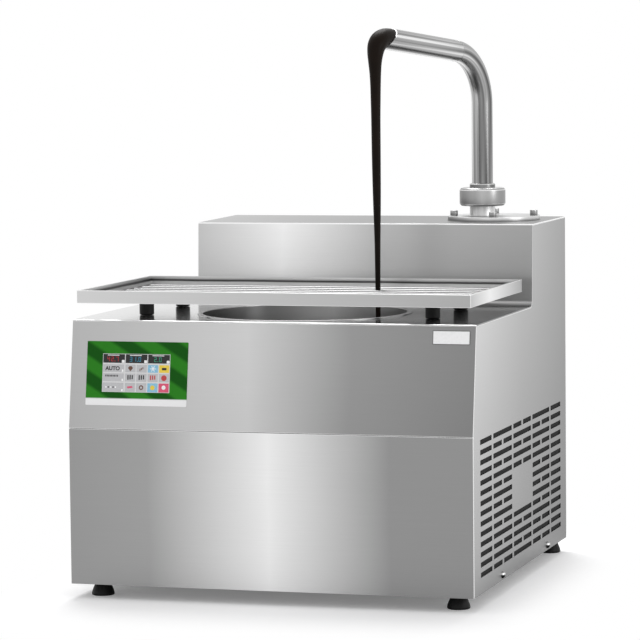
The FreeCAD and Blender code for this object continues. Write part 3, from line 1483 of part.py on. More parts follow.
def make_lines():
    keep("filter_drier", turned("filter_drier", [
        (0, "drier_start"),
        ("line_radius", "drier_start"),
        ("drier_radius", "drier_start + drier_radius"),
        ("drier_radius", "drier_start + drier_height - drier_radius"),
        ("line_radius", "drier_start + drier_height"),
        (0, "drier_start + drier_height"),
    ], ("drier_over", "drier_y", 0)))
    port_x = "condenser_x + condenser_thick / 2"
    port_y = "condenser_y + condenser_length"
    behind = "(condenser_y + condenser_length + pump_y) / 2"
    high = "pan_top + condenser_height - 2 * drier_radius"
    low = "pan_top + 3 * drier_radius"
    coil_x = "pump_over + coil_radius"
    coil_top = "coil_start + coil_pitch * coil_turns"
    side = "compressor_over + compressor_radius"
    over = "drier_start + drier_height + 3 * drier_radius"
    wall = "rear - 3 * drier_radius"
    discharge = [
        (side, "compressor_y", high),
        (side + " + 3 * drier_radius", "compressor_y", high),
        (side + " + 3 * drier_radius", behind, high),
        (port_x, behind, high),
        (port_x, port_y, high),
    ]
    liquid = [
        (port_x, port_y, low),
        (port_x, port_y + " + 4 * drier_radius", low),
        ("drier_over", port_y + " + 4 * drier_radius", low),
        ("drier_over", "drier_y", low),
        ("drier_over", "drier_y", "drier_start"),
    ]
    capillary = [
        ("drier_over", "drier_y", "drier_start + drier_height"),
        ("drier_over", "drier_y", over),
        ("drier_over", behind + " + drier_radius", over),
        (coil_x, behind + " + drier_radius", over),
        (coil_x, behind + " + drier_radius", "coil_start"),
        (coil_x, "pump_y", "coil_start"),
    ]
    suction = [
        (coil_x, "pump_y", coil_top),
        (coil_x, wall, coil_top),
        ("compressor_over", wall, coil_top),
        ("compressor_over", "compressor_y", coil_top),
        ("compressor_over", "compressor_y", "compressor_top"),
    ]
    runs = {"discharge": discharge, "liquid": liquid, "capillary": capillary, "suction": suction}
    radius = number("line_radius")
    lines = [bent_line(name + "_line", points, radius, 4 * radius) for name, points in runs.items()]
    keep("refrigerant_lines", group("refrigerant_lines", lines))


# ---------------------------------------------------------------- build and write

write_sheet("sizes", {alias: "%s" % size for alias, size in SIZES.items()})
write_sheet("places", {
    alias: "=" + WORD.sub(lambda found: ("sizes." if found.group() in SIZES else "") + found.group(), text)
    for alias, text in PLACES.items()
})
doc.recompute()

for make in (
    make_base_pan, make_front_panels, make_deck_panel, make_hump_cover, make_side_panels,
    make_rear_panel, make_air_filter, make_panel_screws, make_feet, make_bowl, make_bowl_jacket,
    make_stirrer, make_stirrer_drive, make_feed_pipe, make_pump, make_pump_drive, make_flange,
    make_union, make_spout, make_stream, make_tray_frame, make_tray_grid, make_tray_feet,
    make_touch_panel, make_electronics, make_power_inlet, make_main_switch, make_compressor,
    make_condenser, make_fan, make_lines,
):
    make()
doc.recompute()

for item in doc.Objects:
    if {"Invalid", "Error"} & set(item.State):
        raise RuntimeError("%s could not be worked out: %s" % (item.Label, item.State))
for piece in subparts:
    if piece.Shape.isNull() or not piece.Shape.isValid() or not piece.Shape.Solids:
        raise RuntimeError("%s has no sound solid" % piece.Label)
for piece in subparts:
    piece.Shape.exportStep("parts/%s.step" % piece.Label)
    print("%-20s %d solids, %.0f mm3" % (piece.Label, len(piece.Shape.Solids), piece.Shape.Volume))
print(len(subparts), "sub-parts")
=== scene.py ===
"""Dresses the chocolate tempering machine: sheet metal, spout, bowl, moulding frame and stage."""

import json
import math

import bmesh
import bpy
from bpy.props import FloatProperty, IntProperty, PointerProperty
from mathutils import Matrix, Vector


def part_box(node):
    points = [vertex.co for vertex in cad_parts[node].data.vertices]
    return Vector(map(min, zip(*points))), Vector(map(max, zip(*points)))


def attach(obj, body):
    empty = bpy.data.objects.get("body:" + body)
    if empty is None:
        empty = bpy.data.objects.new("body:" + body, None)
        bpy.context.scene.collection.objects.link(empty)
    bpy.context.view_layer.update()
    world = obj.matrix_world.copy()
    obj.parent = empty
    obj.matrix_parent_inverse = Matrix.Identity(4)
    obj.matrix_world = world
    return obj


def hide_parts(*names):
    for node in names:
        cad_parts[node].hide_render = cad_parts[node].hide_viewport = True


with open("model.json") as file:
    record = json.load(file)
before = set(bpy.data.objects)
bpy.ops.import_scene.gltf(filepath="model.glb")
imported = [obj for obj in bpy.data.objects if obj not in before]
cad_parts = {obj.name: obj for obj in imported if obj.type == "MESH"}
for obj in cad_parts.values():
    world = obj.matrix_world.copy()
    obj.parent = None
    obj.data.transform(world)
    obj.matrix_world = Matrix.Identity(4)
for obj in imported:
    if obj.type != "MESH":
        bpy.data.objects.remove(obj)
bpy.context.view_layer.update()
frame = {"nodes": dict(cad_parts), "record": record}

bl_info = {
    "name": "Chocolate tempering machine",
    "version": (1, 0, 0),
    "blender": (4, 5, 0),
    "location": "View3D > Sidebar > Tempering",
    "description": "Builds the looks of a countertop chocolate tempering machine round its frame",
    "category": "Object",
}

MM = 0.001
BROAD_FACE = 0.0025


# ---------------------------------------------------------------- places read from the frame

def corners(node):
    """Lowest and highest corner of a frame node, in millimetres."""
    low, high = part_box(node)
    return low / MM, high / MM


LOWER_LOW, LOWER_HIGH = corners("front_lower_panel")
UPPER_LOW = corners("front_upper_panel")[0]
SIDE_HIGH = corners("right_side_panel")[1]
REAR_HIGH = corners("rear_panel")[1]
HUMP_LOW, HUMP_HIGH = corners("hump_cover")
DECK_LOW = corners("deck_panel")[0]
TRAY_LOW, TRAY_HIGH = corners("tray_frame")
BOWL_LOW, BOWL_HIGH = corners("bowl")
NUT_LOW, NUT_HIGH = corners("union_nut")
FLANGE_LOW, FLANGE_HIGH = corners("flange_plate")
OVERLAY_LOW, OVERLAY_HIGH = corners("touch_overlay")
BADGE_LOW, BADGE_HIGH = corners("badge")

FRONT = LOWER_LOW.y
SEAM = (LOWER_HIGH.z + UPPER_LOW.z) / 2
DECK = HUMP_LOW.z
HALF_WIDTH = SIDE_HIGH.x
PUMP = (NUT_LOW + NUT_HIGH) / 2
BOWL = (BOWL_LOW + BOWL_HIGH) / 2
FLANGE = (FLANGE_LOW + FLANGE_HIGH) / 2
LEAN = math.atan2(DECK_LOW.y - FRONT, DECK - SEAM)
SLOTS_TOP = 228
SLOTS_SETBACK = 30


# ---------------------------------------------------------------- settings that a user may change

class SteelSettings(bpy.types.PropertyGroup):
    """Finish of the sheet metal and of the polished pipe."""

    sheet_roughness: FloatProperty(name="Sheet roughness", description="Blur of the brushed sheet",
                                   subtype="FACTOR", min=0, max=1, default=0.34)
    deck_roughness: FloatProperty(name="Deck roughness", description="Blur of the deck under the tray",
                                  subtype="FACTOR", min=0, max=1, default=0.16)
    edge_radius: FloatProperty(name="Edge radius", description="Rounding of the folded edges",
                               subtype="DISTANCE", unit="LENGTH", min=0.0001, max=0.003, default=0.0009)


class SpoutSettings(bpy.types.PropertyGroup):
    """Sizes of the pouring pipe."""

    radius: FloatProperty(name="Pipe radius", description="Outside radius of the pipe",
                          subtype="DISTANCE", unit="LENGTH", default=0.015)
    bore: FloatProperty(name="Bore radius", description="Inside radius of the pipe",
                        subtype="DISTANCE", unit="LENGTH", default=0.0135)
    bend: FloatProperty(name="Bend radius", description="Radius of the elbow along its middle",
                        subtype="DISTANCE", unit="LENGTH", default=0.077)
    arm: FloatProperty(name="Arm length", description="From the elbow's corner to the mouth",
                       subtype="DISTANCE", unit="LENGTH", default=0.246)
    turn: FloatProperty(name="Turn", description="How far the arm is turned from straight ahead",
                        subtype="ANGLE", unit="ROTATION", default=math.radians(18.3))
    climb: FloatProperty(name="Climb", description="How far the arm rises towards its mouth",
                         subtype="ANGLE", unit="ROTATION", default=math.radians(5.7))
    slant: FloatProperty(name="Mouth slant", description="Angle of the cut at the mouth",
                         subtype="ANGLE", unit="ROTATION", default=math.radians(42))
    weld: FloatProperty(name="Weld height", description="How far the ground weld stands out of the pipe",
                        subtype="DISTANCE", unit="LENGTH", default=0.0003)


class StageSettings(bpy.types.PropertyGroup):
    """Studio round the machine."""

    floor_radius: FloatProperty(name="Floor radius", description="Half width of the floor",
                                subtype="DISTANCE", unit="LENGTH", default=12)
    world_strength: FloatProperty(name="Surround", description="Strength of the even light all round",
                                  min=0, max=2, default=0.8)


def settings(group):
    return getattr(bpy.context.scene, "tempering_" + group)


# ---------------------------------------------------------------- materials

def linear(text):
    """Linear colour of an sRGB hex value."""
    values = [int(text[i:i + 2], 16) / 255 for i in (1, 3, 5)]
    return tuple(v / 12.92 if v <= 0.04045 else ((v + 0.055) / 1.055) ** 2.4 for v in values) + (1,)


def add(tree, kind, sockets=None, stops=None, **choices):
    """Adds one node with its choices, the values or links of its sockets and a ramp's stops."""
    made = tree.nodes.new(kind)
    for name, value in choices.items():
        setattr(made, name, value)
    for name, value in (sockets or {}).items():
        socket = made.inputs[name]
        if isinstance(value, bpy.types.NodeSocket):
            tree.links.new(value, socket)
        else:
            socket.default_value = value
    if stops:
        ramp = made.color_ramp
        while len(ramp.elements) < len(stops):
            ramp.elements.new(1)
        for element, (place, colour) in zip(ramp.elements, sorted(stops)):
            element.position = place
            element.color = linear(colour)
    return made


def blank(name):
    """A new material's node tree with only its output."""
    made = bpy.data.materials.new(name)
    made.use_nodes = True
    made.node_tree.nodes.clear()
    return made, made.node_tree


def surface(tree, **sockets):
    """The material's own shader, joined to its output."""
    named = {name.replace("_", " "): value for name, value in sockets.items()}
    shader = add(tree, "ShaderNodeBsdfPrincipled", named)
    add(tree, "ShaderNodeOutputMaterial", {"Surface": shader.outputs["BSDF"]})
    return shader


def sheet_with_painted_reflections(name, node, grain, painted_tones, foot, head, roughness=0.34):
    """Brushed AISI 304 sheet: pale grey, soft bands of painted reflection and fine lines along the grain.

    The painted reflection tones run along the grain from one end of the node to the other, and the foot
    of the sheet is painted darker and its head paler by their levels: painted shade and painted light."""
    made, tree = blank(name)
    place = add(tree, "ShaderNodeTexCoord").outputs["Object"]
    # Broad clouds, some 200 mm wide, that keep the painted reflection bands from being ruler straight.
    cloud = add(tree, "ShaderNodeTexNoise", {"Vector": place, "Scale": 5.0, "Detail": 2.0})
    wander = add(tree, "ShaderNodeVectorMath", {0: cloud.outputs["Color"], 1: (0.5, 0.5, 0.5)},
                 operation="SUBTRACT")
    moved = add(tree, "ShaderNodeVectorMath", {0: wander.outputs[0], 1: (0.02, 0.02, 0.02), 2: place},
                operation="MULTIPLY_ADD")
    apart = add(tree, "ShaderNodeSeparateXYZ", {"Vector": moved.outputs[0]})
    low, high = corners(node)
    along = "XYZ".index(grain)
    share = add(tree, "ShaderNodeMapRange", {
        "Value": apart.outputs[grain], "From Min": low[along] * MM, "From Max": high[along] * MM,
    })
    painted_bands = add(tree, "ShaderNodeValToRGB", {"Fac": share.outputs["Result"]}, painted_tones)
    rise = add(tree, "ShaderNodeMapRange", {
        "Value": apart.outputs["Z"], "From Min": low.z * MM, "From Max": high.z * MM,
        "To Min": foot, "To Max": head,
    })
    tone = add(tree, "ShaderNodeVectorMath", {0: painted_bands.outputs["Color"], 1: rise.outputs["Result"]},
               operation="MULTIPLY").outputs[0]
    # Grit 240 lines are 0.1 mm apart, too fine to show, so they are drawn 0.8 mm apart and 60 mm long.
    stretch = {"X": (16, 700, 1250), "Y": (700, 16, 1250)}[grain]
    lines = add(tree, "ShaderNodeVectorMath", {0: place, 1: stretch}, operation="MULTIPLY")
    brush = add(tree, "ShaderNodeTexNoise", {"Vector": lines.outputs[0], "Scale": 1.0, "Detail": 3.0})
    fine = add(tree, "ShaderNodeMapRange", {
        "Value": brush.outputs["Fac"], "From Min": 0.25, "From Max": 0.75, "To Min": 0.984, "To Max": 1.014,
    })
    shade = add(tree, "ShaderNodeVectorMath", {0: tone, 1: fine.outputs["Result"]}, operation="MULTIPLY")
    bump = add(tree, "ShaderNodeBump", {
        "Height": brush.outputs["Fac"], "Strength": 0.04, "Distance": 0.0002,
    })
    surface(tree, Base_Color=shade.outputs[0], Metallic=1.0, Roughness=roughness,
            Normal=bump.outputs["Normal"])
    return made


def plain_steel(name, tone, roughness, spread=0.05, scale=60.0):
    """Drawn or cast metal in one tone with faint cloudy wear."""
    made, tree = blank(name)
    place = add(tree, "ShaderNodeTexCoord").outputs["Object"]
    cloud = add(tree, "ShaderNodeTexNoise", {"Vector": place, "Scale": scale, "Detail": 3.0})
    wear = add(tree, "ShaderNodeMapRange", {
        "Value": cloud.outputs["Fac"], "To Min": 1 - spread, "To Max": 1 + spread,
    })
    shade = add(tree, "ShaderNodeVectorMath", {0: linear(tone)[:3], 1: wear.outputs["Result"]},
                operation="MULTIPLY")
    surface(tree, Base_Color=shade.outputs[0], Metallic=1.0, Roughness=roughness)
    return made


def speckled(name, tone, second, roughness, scale, bump_height=0.0002, **sockets):
    """A non-metal in two near tones with a fine grain: rubber, moulded plastic, paint or foam."""
    made, tree = blank(name)
    place = add(tree, "ShaderNodeTexCoord").outputs["Object"]
    grain = add(tree, "ShaderNodeTexNoise", {"Vector": place, "Scale": scale, "Detail": 4.0})
    mixed = add(tree, "ShaderNodeValToRGB", {"Fac": grain.outputs["Fac"]}, [(0.35, tone), (0.65, second)])
    bump = add(tree, "ShaderNodeBump", {
        "Height": grain.outputs["Fac"], "Strength": 0.3, "Distance": bump_height,
    })
    surface(tree, Base_Color=mixed.outputs["Color"], Roughness=roughness, Normal=bump.outputs["Normal"],
            **sockets)
    return made


def turned_with_painted_reflection(name, painted_tones, roughness, centre, reach):
    """Steel turned on a lathe: fine rings round the axis, and a painted reflection whose tone changes from
    left to right across it.
    """
    made, tree = blank(name)
    place = add(tree, "ShaderNodeTexCoord").outputs["Object"]
    centred = add(tree, "ShaderNodeVectorMath", {0: place, 1: (centre[0] * MM, centre[1] * MM, 0)},
                  operation="SUBTRACT").outputs[0]
    rings = add(tree, "ShaderNodeTexWave", {
        "Vector": centred, "Scale": 160.0, "Distortion": 0.6, "Detail": 2.0,
    }, wave_type="RINGS", rings_direction="Z")
    wear = add(tree, "ShaderNodeMapRange", {
        "Value": rings.outputs["Fac"], "To Min": 0.97, "To Max": 1.03,
    })
    apart = add(tree, "ShaderNodeSeparateXYZ", {"Vector": centred})
    share = add(tree, "ShaderNodeMapRange", {
        "Value": apart.outputs["X"], "From Min": -reach * MM, "From Max": reach * MM,
    })
    tone = add(tree, "ShaderNodeValToRGB", {"Fac": share.outputs["Result"]}, painted_tones)
    shade = add(tree, "ShaderNodeVectorMath", {0: tone.outputs["Color"], 1: wear.outputs["Result"]},
                operation="MULTIPLY")
    surface(tree, Base_Color=shade.outputs[0], Metallic=1.0, Roughness=roughness)
    return made


def pipe_painted_reflections(name):
    """Mirror polished tube: long soft painted reflection streaks run with the pipe, from dark to white."""
    made, tree = blank(name)
    way = add(tree, "ShaderNodeUVMap", uv_map="round_and_along")
    apart = add(tree, "ShaderNodeSeparateXYZ", {"Vector": way.outputs["UV"]})
    # The way round is bent into a circle, so that the painted streaks close on themselves.
    angle = add(tree, "ShaderNodeMath", {0: apart.outputs["X"], 1: math.tau}, operation="MULTIPLY")
    across = add(tree, "ShaderNodeMath", {0: angle.outputs[0]}, operation="COSINE")
    deep = add(tree, "ShaderNodeMath", {0: angle.outputs[0]}, operation="SINE")
    slow = add(tree, "ShaderNodeMath", {0: apart.outputs["Y"], 1: 0.4}, operation="MULTIPLY")
    spot = add(tree, "ShaderNodeCombineXYZ", {
        "X": across.outputs[0], "Y": deep.outputs[0], "Z": slow.outputs[0],
    })
    # The painted reflection streaks are some 8 mm wide: half a unit on the circle, which is 94 mm round.
    painted_streaks = add(tree, "ShaderNodeTexNoise", {"Vector": spot.outputs["Vector"], "Scale": 2.0, "Detail": 2.0})
    tone = add(tree, "ShaderNodeValToRGB", {"Fac": painted_streaks.outputs["Fac"]}, [
        (0.34, "#585858"), (0.46, "#8C8C8C"), (0.56, "#B0B0B0"), (0.64, "#ECECEC"),
    ])
    surface(tree, Base_Color=tone.outputs["Color"], Metallic=1.0, Roughness=0.28)
    return made


def melted_chocolate(name):
    """Tempered dark chocolate while it runs: near black, wet gloss, faint drag lines."""
    made, tree = blank(name)
    place = add(tree, "ShaderNodeTexCoord").outputs["Object"]
    swirl = add(tree, "ShaderNodeTexNoise", {
        "Vector": place, "Scale": 22.0, "Detail": 3.0, "Distortion": 0.8,
    })
    tone = add(tree, "ShaderNodeValToRGB", {"Fac": swirl.outputs["Fac"]}, [
        (0.3, "#0F0905"), (0.7, "#191009"),
    ])
    bump = add(tree, "ShaderNodeBump", {"Height": swirl.outputs["Fac"], "Strength": 0.15, "Distance": 0.001})
    surface(tree, Base_Color=tone.outputs["Color"], Roughness=0.42, IOR=1.5, Specular_IOR_Level=0.09,
            Normal=bump.outputs["Normal"])
    return made


def printed_film(name):
    """Printed polyester film of the touch panel: straight slanting stripes in two greens over a pale foot."""
    made, tree = blank(name)
    way = add(tree, "ShaderNodeUVMap", uv_map="film").outputs["UV"]
    apart = add(tree, "ShaderNodeSeparateXYZ", {"Vector": way})
    # The stripes come round every 0.45 of the film's width, some 64 mm along it.
    stripes = add(tree, "ShaderNodeTexWave", {"Vector": way, "Scale": 1.4, "Distortion": 0.0},
                  wave_type="BANDS", bands_direction="DIAGONAL", wave_profile="SIN")
    green = add(tree, "ShaderNodeValToRGB", {"Fac": stripes.outputs["Fac"]}, [
        (0.3, "#0A5206"), (0.7, "#2A7E1C"),
    ])
    # The lowest tenth of the film is left pale.
    foot = add(tree, "ShaderNodeMapRange", {
        "Value": apart.outputs["Y"], "From Min": 0.10, "From Max": 0.12, "To Min": 1.0, "To Max": 0.0,
    })
    print_tone = add(tree, "ShaderNodeMix", {
        "Factor": foot.outputs["Result"], "A": green.outputs["Color"], "B": linear("#F2F2F2"),
    }, data_type="RGBA")
    surface(tree, Base_Color=print_tone.outputs["Result"], Roughness=0.32, IOR=1.5, Specular_IOR_Level=0.12)
    return made


def lamp_material(name, tone, strength):
    """A lit segment behind the glass."""
    made, tree = blank(name)
    place = add(tree, "ShaderNodeTexCoord").outputs["Object"]
    flicker = add(tree, "ShaderNodeTexNoise", {"Vector": place, "Scale": 400.0})
    level = add(tree, "ShaderNodeMapRange", {
        "Value": flicker.outputs["Fac"], "To Min": 0.85, "To Max": 1.15,
    })
    shade = add(tree, "ShaderNodeVectorMath", {0: linear(tone)[:3], 1: level.outputs["Result"]},
                operation="MULTIPLY")
    surface(tree, Base_Color=shade.outputs[0], Roughness=0.4, Emission_Color=shade.outputs[0],
            Emission_Strength=strength)
    return made


# The brushed sheets: their node, the way of their grain, their painted reflection tones along it, and the
# level of painted shade at their foot and of painted light at their head.
SHEET_PAINTED_REFLECTIONS = {
    "lower_front": ("front_lower_panel", "X", [
        (0.0, "#989898"), (0.2, "#A0A0A0"), (0.5, "#ECECEC"), (0.8, "#949494"),
    ], 0.97, 1.03),
    "upper_front": ("front_upper_panel", "X", [
        (0.0, "#B4B4B4"), (0.45, "#CCCCCC"), (0.7, "#989898"), (1.0, "#888888"),
    ], 0.95, 1.05),
    "hump_front": ("deck_panel", "X", [
        (0.1, "#C0C0C0"), (0.35, "#F8F8F8"), (0.6, "#C0C0C0"), (1.0, "#A8A8A8"),
    ], 1.0, 1.0),
    "hump_top": ("hump_cover", "X", [(0.0, "#909090"), (0.5, "#707070")], 1.0, 1.0),
    "deck": ("deck_panel", "X", [(0.0, "#C8C8C8"), (0.6, "#8C8C8C")], 1.0, 1.0),
    # The sides are painted much darker at the foot and paler at the head: painted shade and painted light.
    "side": ("right_side_panel", "Y", [(0.0, "#C4C4C4"), (0.5, "#A0A0A0"), (1.0, "#808080")], 0.6, 1.4),
    "rear": ("rear_panel", "X", [(0.0, "#A8A8A8"), (0.5, "#D2D2D2"), (1.0, "#9C9C9C")], 1.0, 1.0),
    "tray": ("tray_frame", "X", [(0.0, "#D2D2D2"), (1.0, "#B0B0B0")], 1.0, 1.0),
    "tray_end": ("tray_frame", "Y", [(0.0, "#B8B8B8"), (0.35, "#F0F0F0"), (1.0, "#909090")], 1.0, 1.0),
}


# ---------------------------------------------------------------- mesh helpers

def piece(name, mesh, material, body, stands_for=()):
    """Links a mesh as a piece of its body, with its material and the nodes it stands for."""
    made = bpy.data.objects.new(name, mesh)
    bpy.context.scene.collection.objects.link(made)
    if not mesh.materials:
        for one in material if isinstance(material, list) else [material]:
            mesh.materials.append(one)
    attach(made, body)
    if stands_for:
        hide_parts(*stands_for)
    return made


def smooth_by_angle(mesh, angle, shaded=False):
    """Smooth shading, unless the faces are shaded already, with sharp edges at more than the angle."""
    if not shaded:
        mesh.shade_smooth()
    bm = bmesh.new()
    bm.from_mesh(mesh)
    for edge in bm.edges:
        edge.smooth = len(edge.link_faces) != 2 or edge.calc_face_angle(math.pi) < angle
    bm.to_mesh(mesh)
    bm.free()


def softened(name, node, material, body, radius=0.0, where=None, sharp=35):
    """A copy of a frame node with its folded edges rounded, so that they catch the light.

    With a list of materials the rounded edges take the last one, which the callers give in a pale tone as a
    painted highlight."""
    source = frame["nodes"][node].data
    mesh = bpy.data.meshes.new(name)
    mesh.from_pydata([vertex.co for vertex in source.vertices], [],
                     [list(face.vertices) for face in source.polygons])
    bm = bmesh.new()
    bm.from_mesh(mesh)
    bmesh.ops.remove_doubles(bm, verts=bm.verts, dist=2e-6)
    bmesh.ops.dissolve_limit(bm, angle_limit=math.radians(0.5), verts=bm.verts, edges=bm.edges)
    if radius:
        folded = [
            edge for edge in bm.edges
            if len(edge.link_faces) == 2 and edge.calc_face_angle(0) > math.radians(sharp)
            and (where is None or where((edge.verts[0].co + edge.verts[1].co) / 2 / MM))
        ]
        bmesh.ops.bevel(bm, geom=folded, offset=radius, segments=2, affect="EDGES", profile=0.5,
                        clamp_overlap=True, material=len(material) - 1 if isinstance(material, list) else -1)
    # Broad flat faces keep their own normal, so that the rounded edges don't shade them.
    for face in bm.faces:
        face.smooth = face.calc_area() < BROAD_FACE
    bmesh.ops.triangulate(bm, faces=[face for face in bm.faces if len(face.verts) > 4])
    bm.to_mesh(mesh)
    bm.free()
    smooth_by_angle(mesh, math.radians(sharp), True)
    return piece(name, mesh, material, body, (node,))


def lathe(profile, centre, steps=96, closed=True):
    """A closed turned mesh from (radius, height) points that run anticlockwise in the half plane."""
    bm = bmesh.new()
    rings = []
    for radius, height in profile:
        if radius < 1e-6:
            rings.append([bm.verts.new((centre[0] * MM, centre[1] * MM, height * MM))])
            continue
        ring = []
        for step in range(steps):
            angle = 2 * math.pi * step / steps
            ring.append(bm.verts.new((
                (centre[0] + radius * math.cos(angle)) * MM,
                (centre[1] + radius * math.sin(angle)) * MM,
                height * MM,
            )))
        rings.append(ring)
    pairs = list(zip(rings, rings[1:]))
    if closed:
        pairs.append((rings[-1], rings[0]))
    for first, second in pairs:
        if len(first) == 1 and len(second) == 1:
            continue
        for step in range(steps):
            after = (step + 1) % steps
            loop = [first[step % len(first)], first[after % len(first)],
                    second[after % len(second)], second[step % len(second)]]
            bm.faces.new(list(dict.fromkeys(loop)))
    bmesh.ops.recalc_face_normals(bm, faces=bm.faces)
    mesh = bpy.data.meshes.new("turned")
    bm.to_mesh(mesh)
    bm.free()
    return mesh


def grown(name, build, values, material, places=()):
    """Mesh grown by a node tree with named inputs, on points where places are given."""
    mesh = bpy.data.meshes.new(name)
    mesh.from_pydata([Vector(place) * MM for place in places], [], [])
    holder = bpy.data.objects.new(name, mesh)
    bpy.context.scene.collection.objects.link(holder)
    tree = bpy.data.node_groups.new(name, "GeometryNodeTree")
    tree.interface.new_socket("Points", in_out="INPUT", socket_type="NodeSocketGeometry")
    kinds = {int: "NodeSocketInt", float: "NodeSocketFloat", Vector: "NodeSocketVector"}
    sockets = {
        label: tree.interface.new_socket(label, in_out="INPUT", socket_type=kinds[type(value)])
        for label, value in values.items()
    }
    tree.interface.new_socket("Mesh", in_out="OUTPUT", socket_type="NodeSocketGeometry")
    grouped = build(tree, add(tree, "NodeGroupInput").outputs)
    real = add(tree, "GeometryNodeRealizeInstances", {"Geometry": grouped})
    coated = add(tree, "GeometryNodeSetMaterial", {
        "Geometry": real.outputs["Geometry"], "Material": material,
    })
    add(tree, "NodeGroupOutput", {"Mesh": coated.outputs["Geometry"]})
    modifier = holder.modifiers.new(name, "NODES")
    modifier.node_group = tree
    for label, socket in sockets.items():
        modifier[socket.identifier] = values[label]
    bpy.context.view_layer.update()
    made = bpy.data.meshes.new_from_object(holder.evaluated_get(bpy.context.evaluated_depsgraph_get()))
    bpy.data.objects.remove(holder)
    smooth_by_angle(made, math.radians(40))
    return made


# ---------------------------------------------------------------- the stage

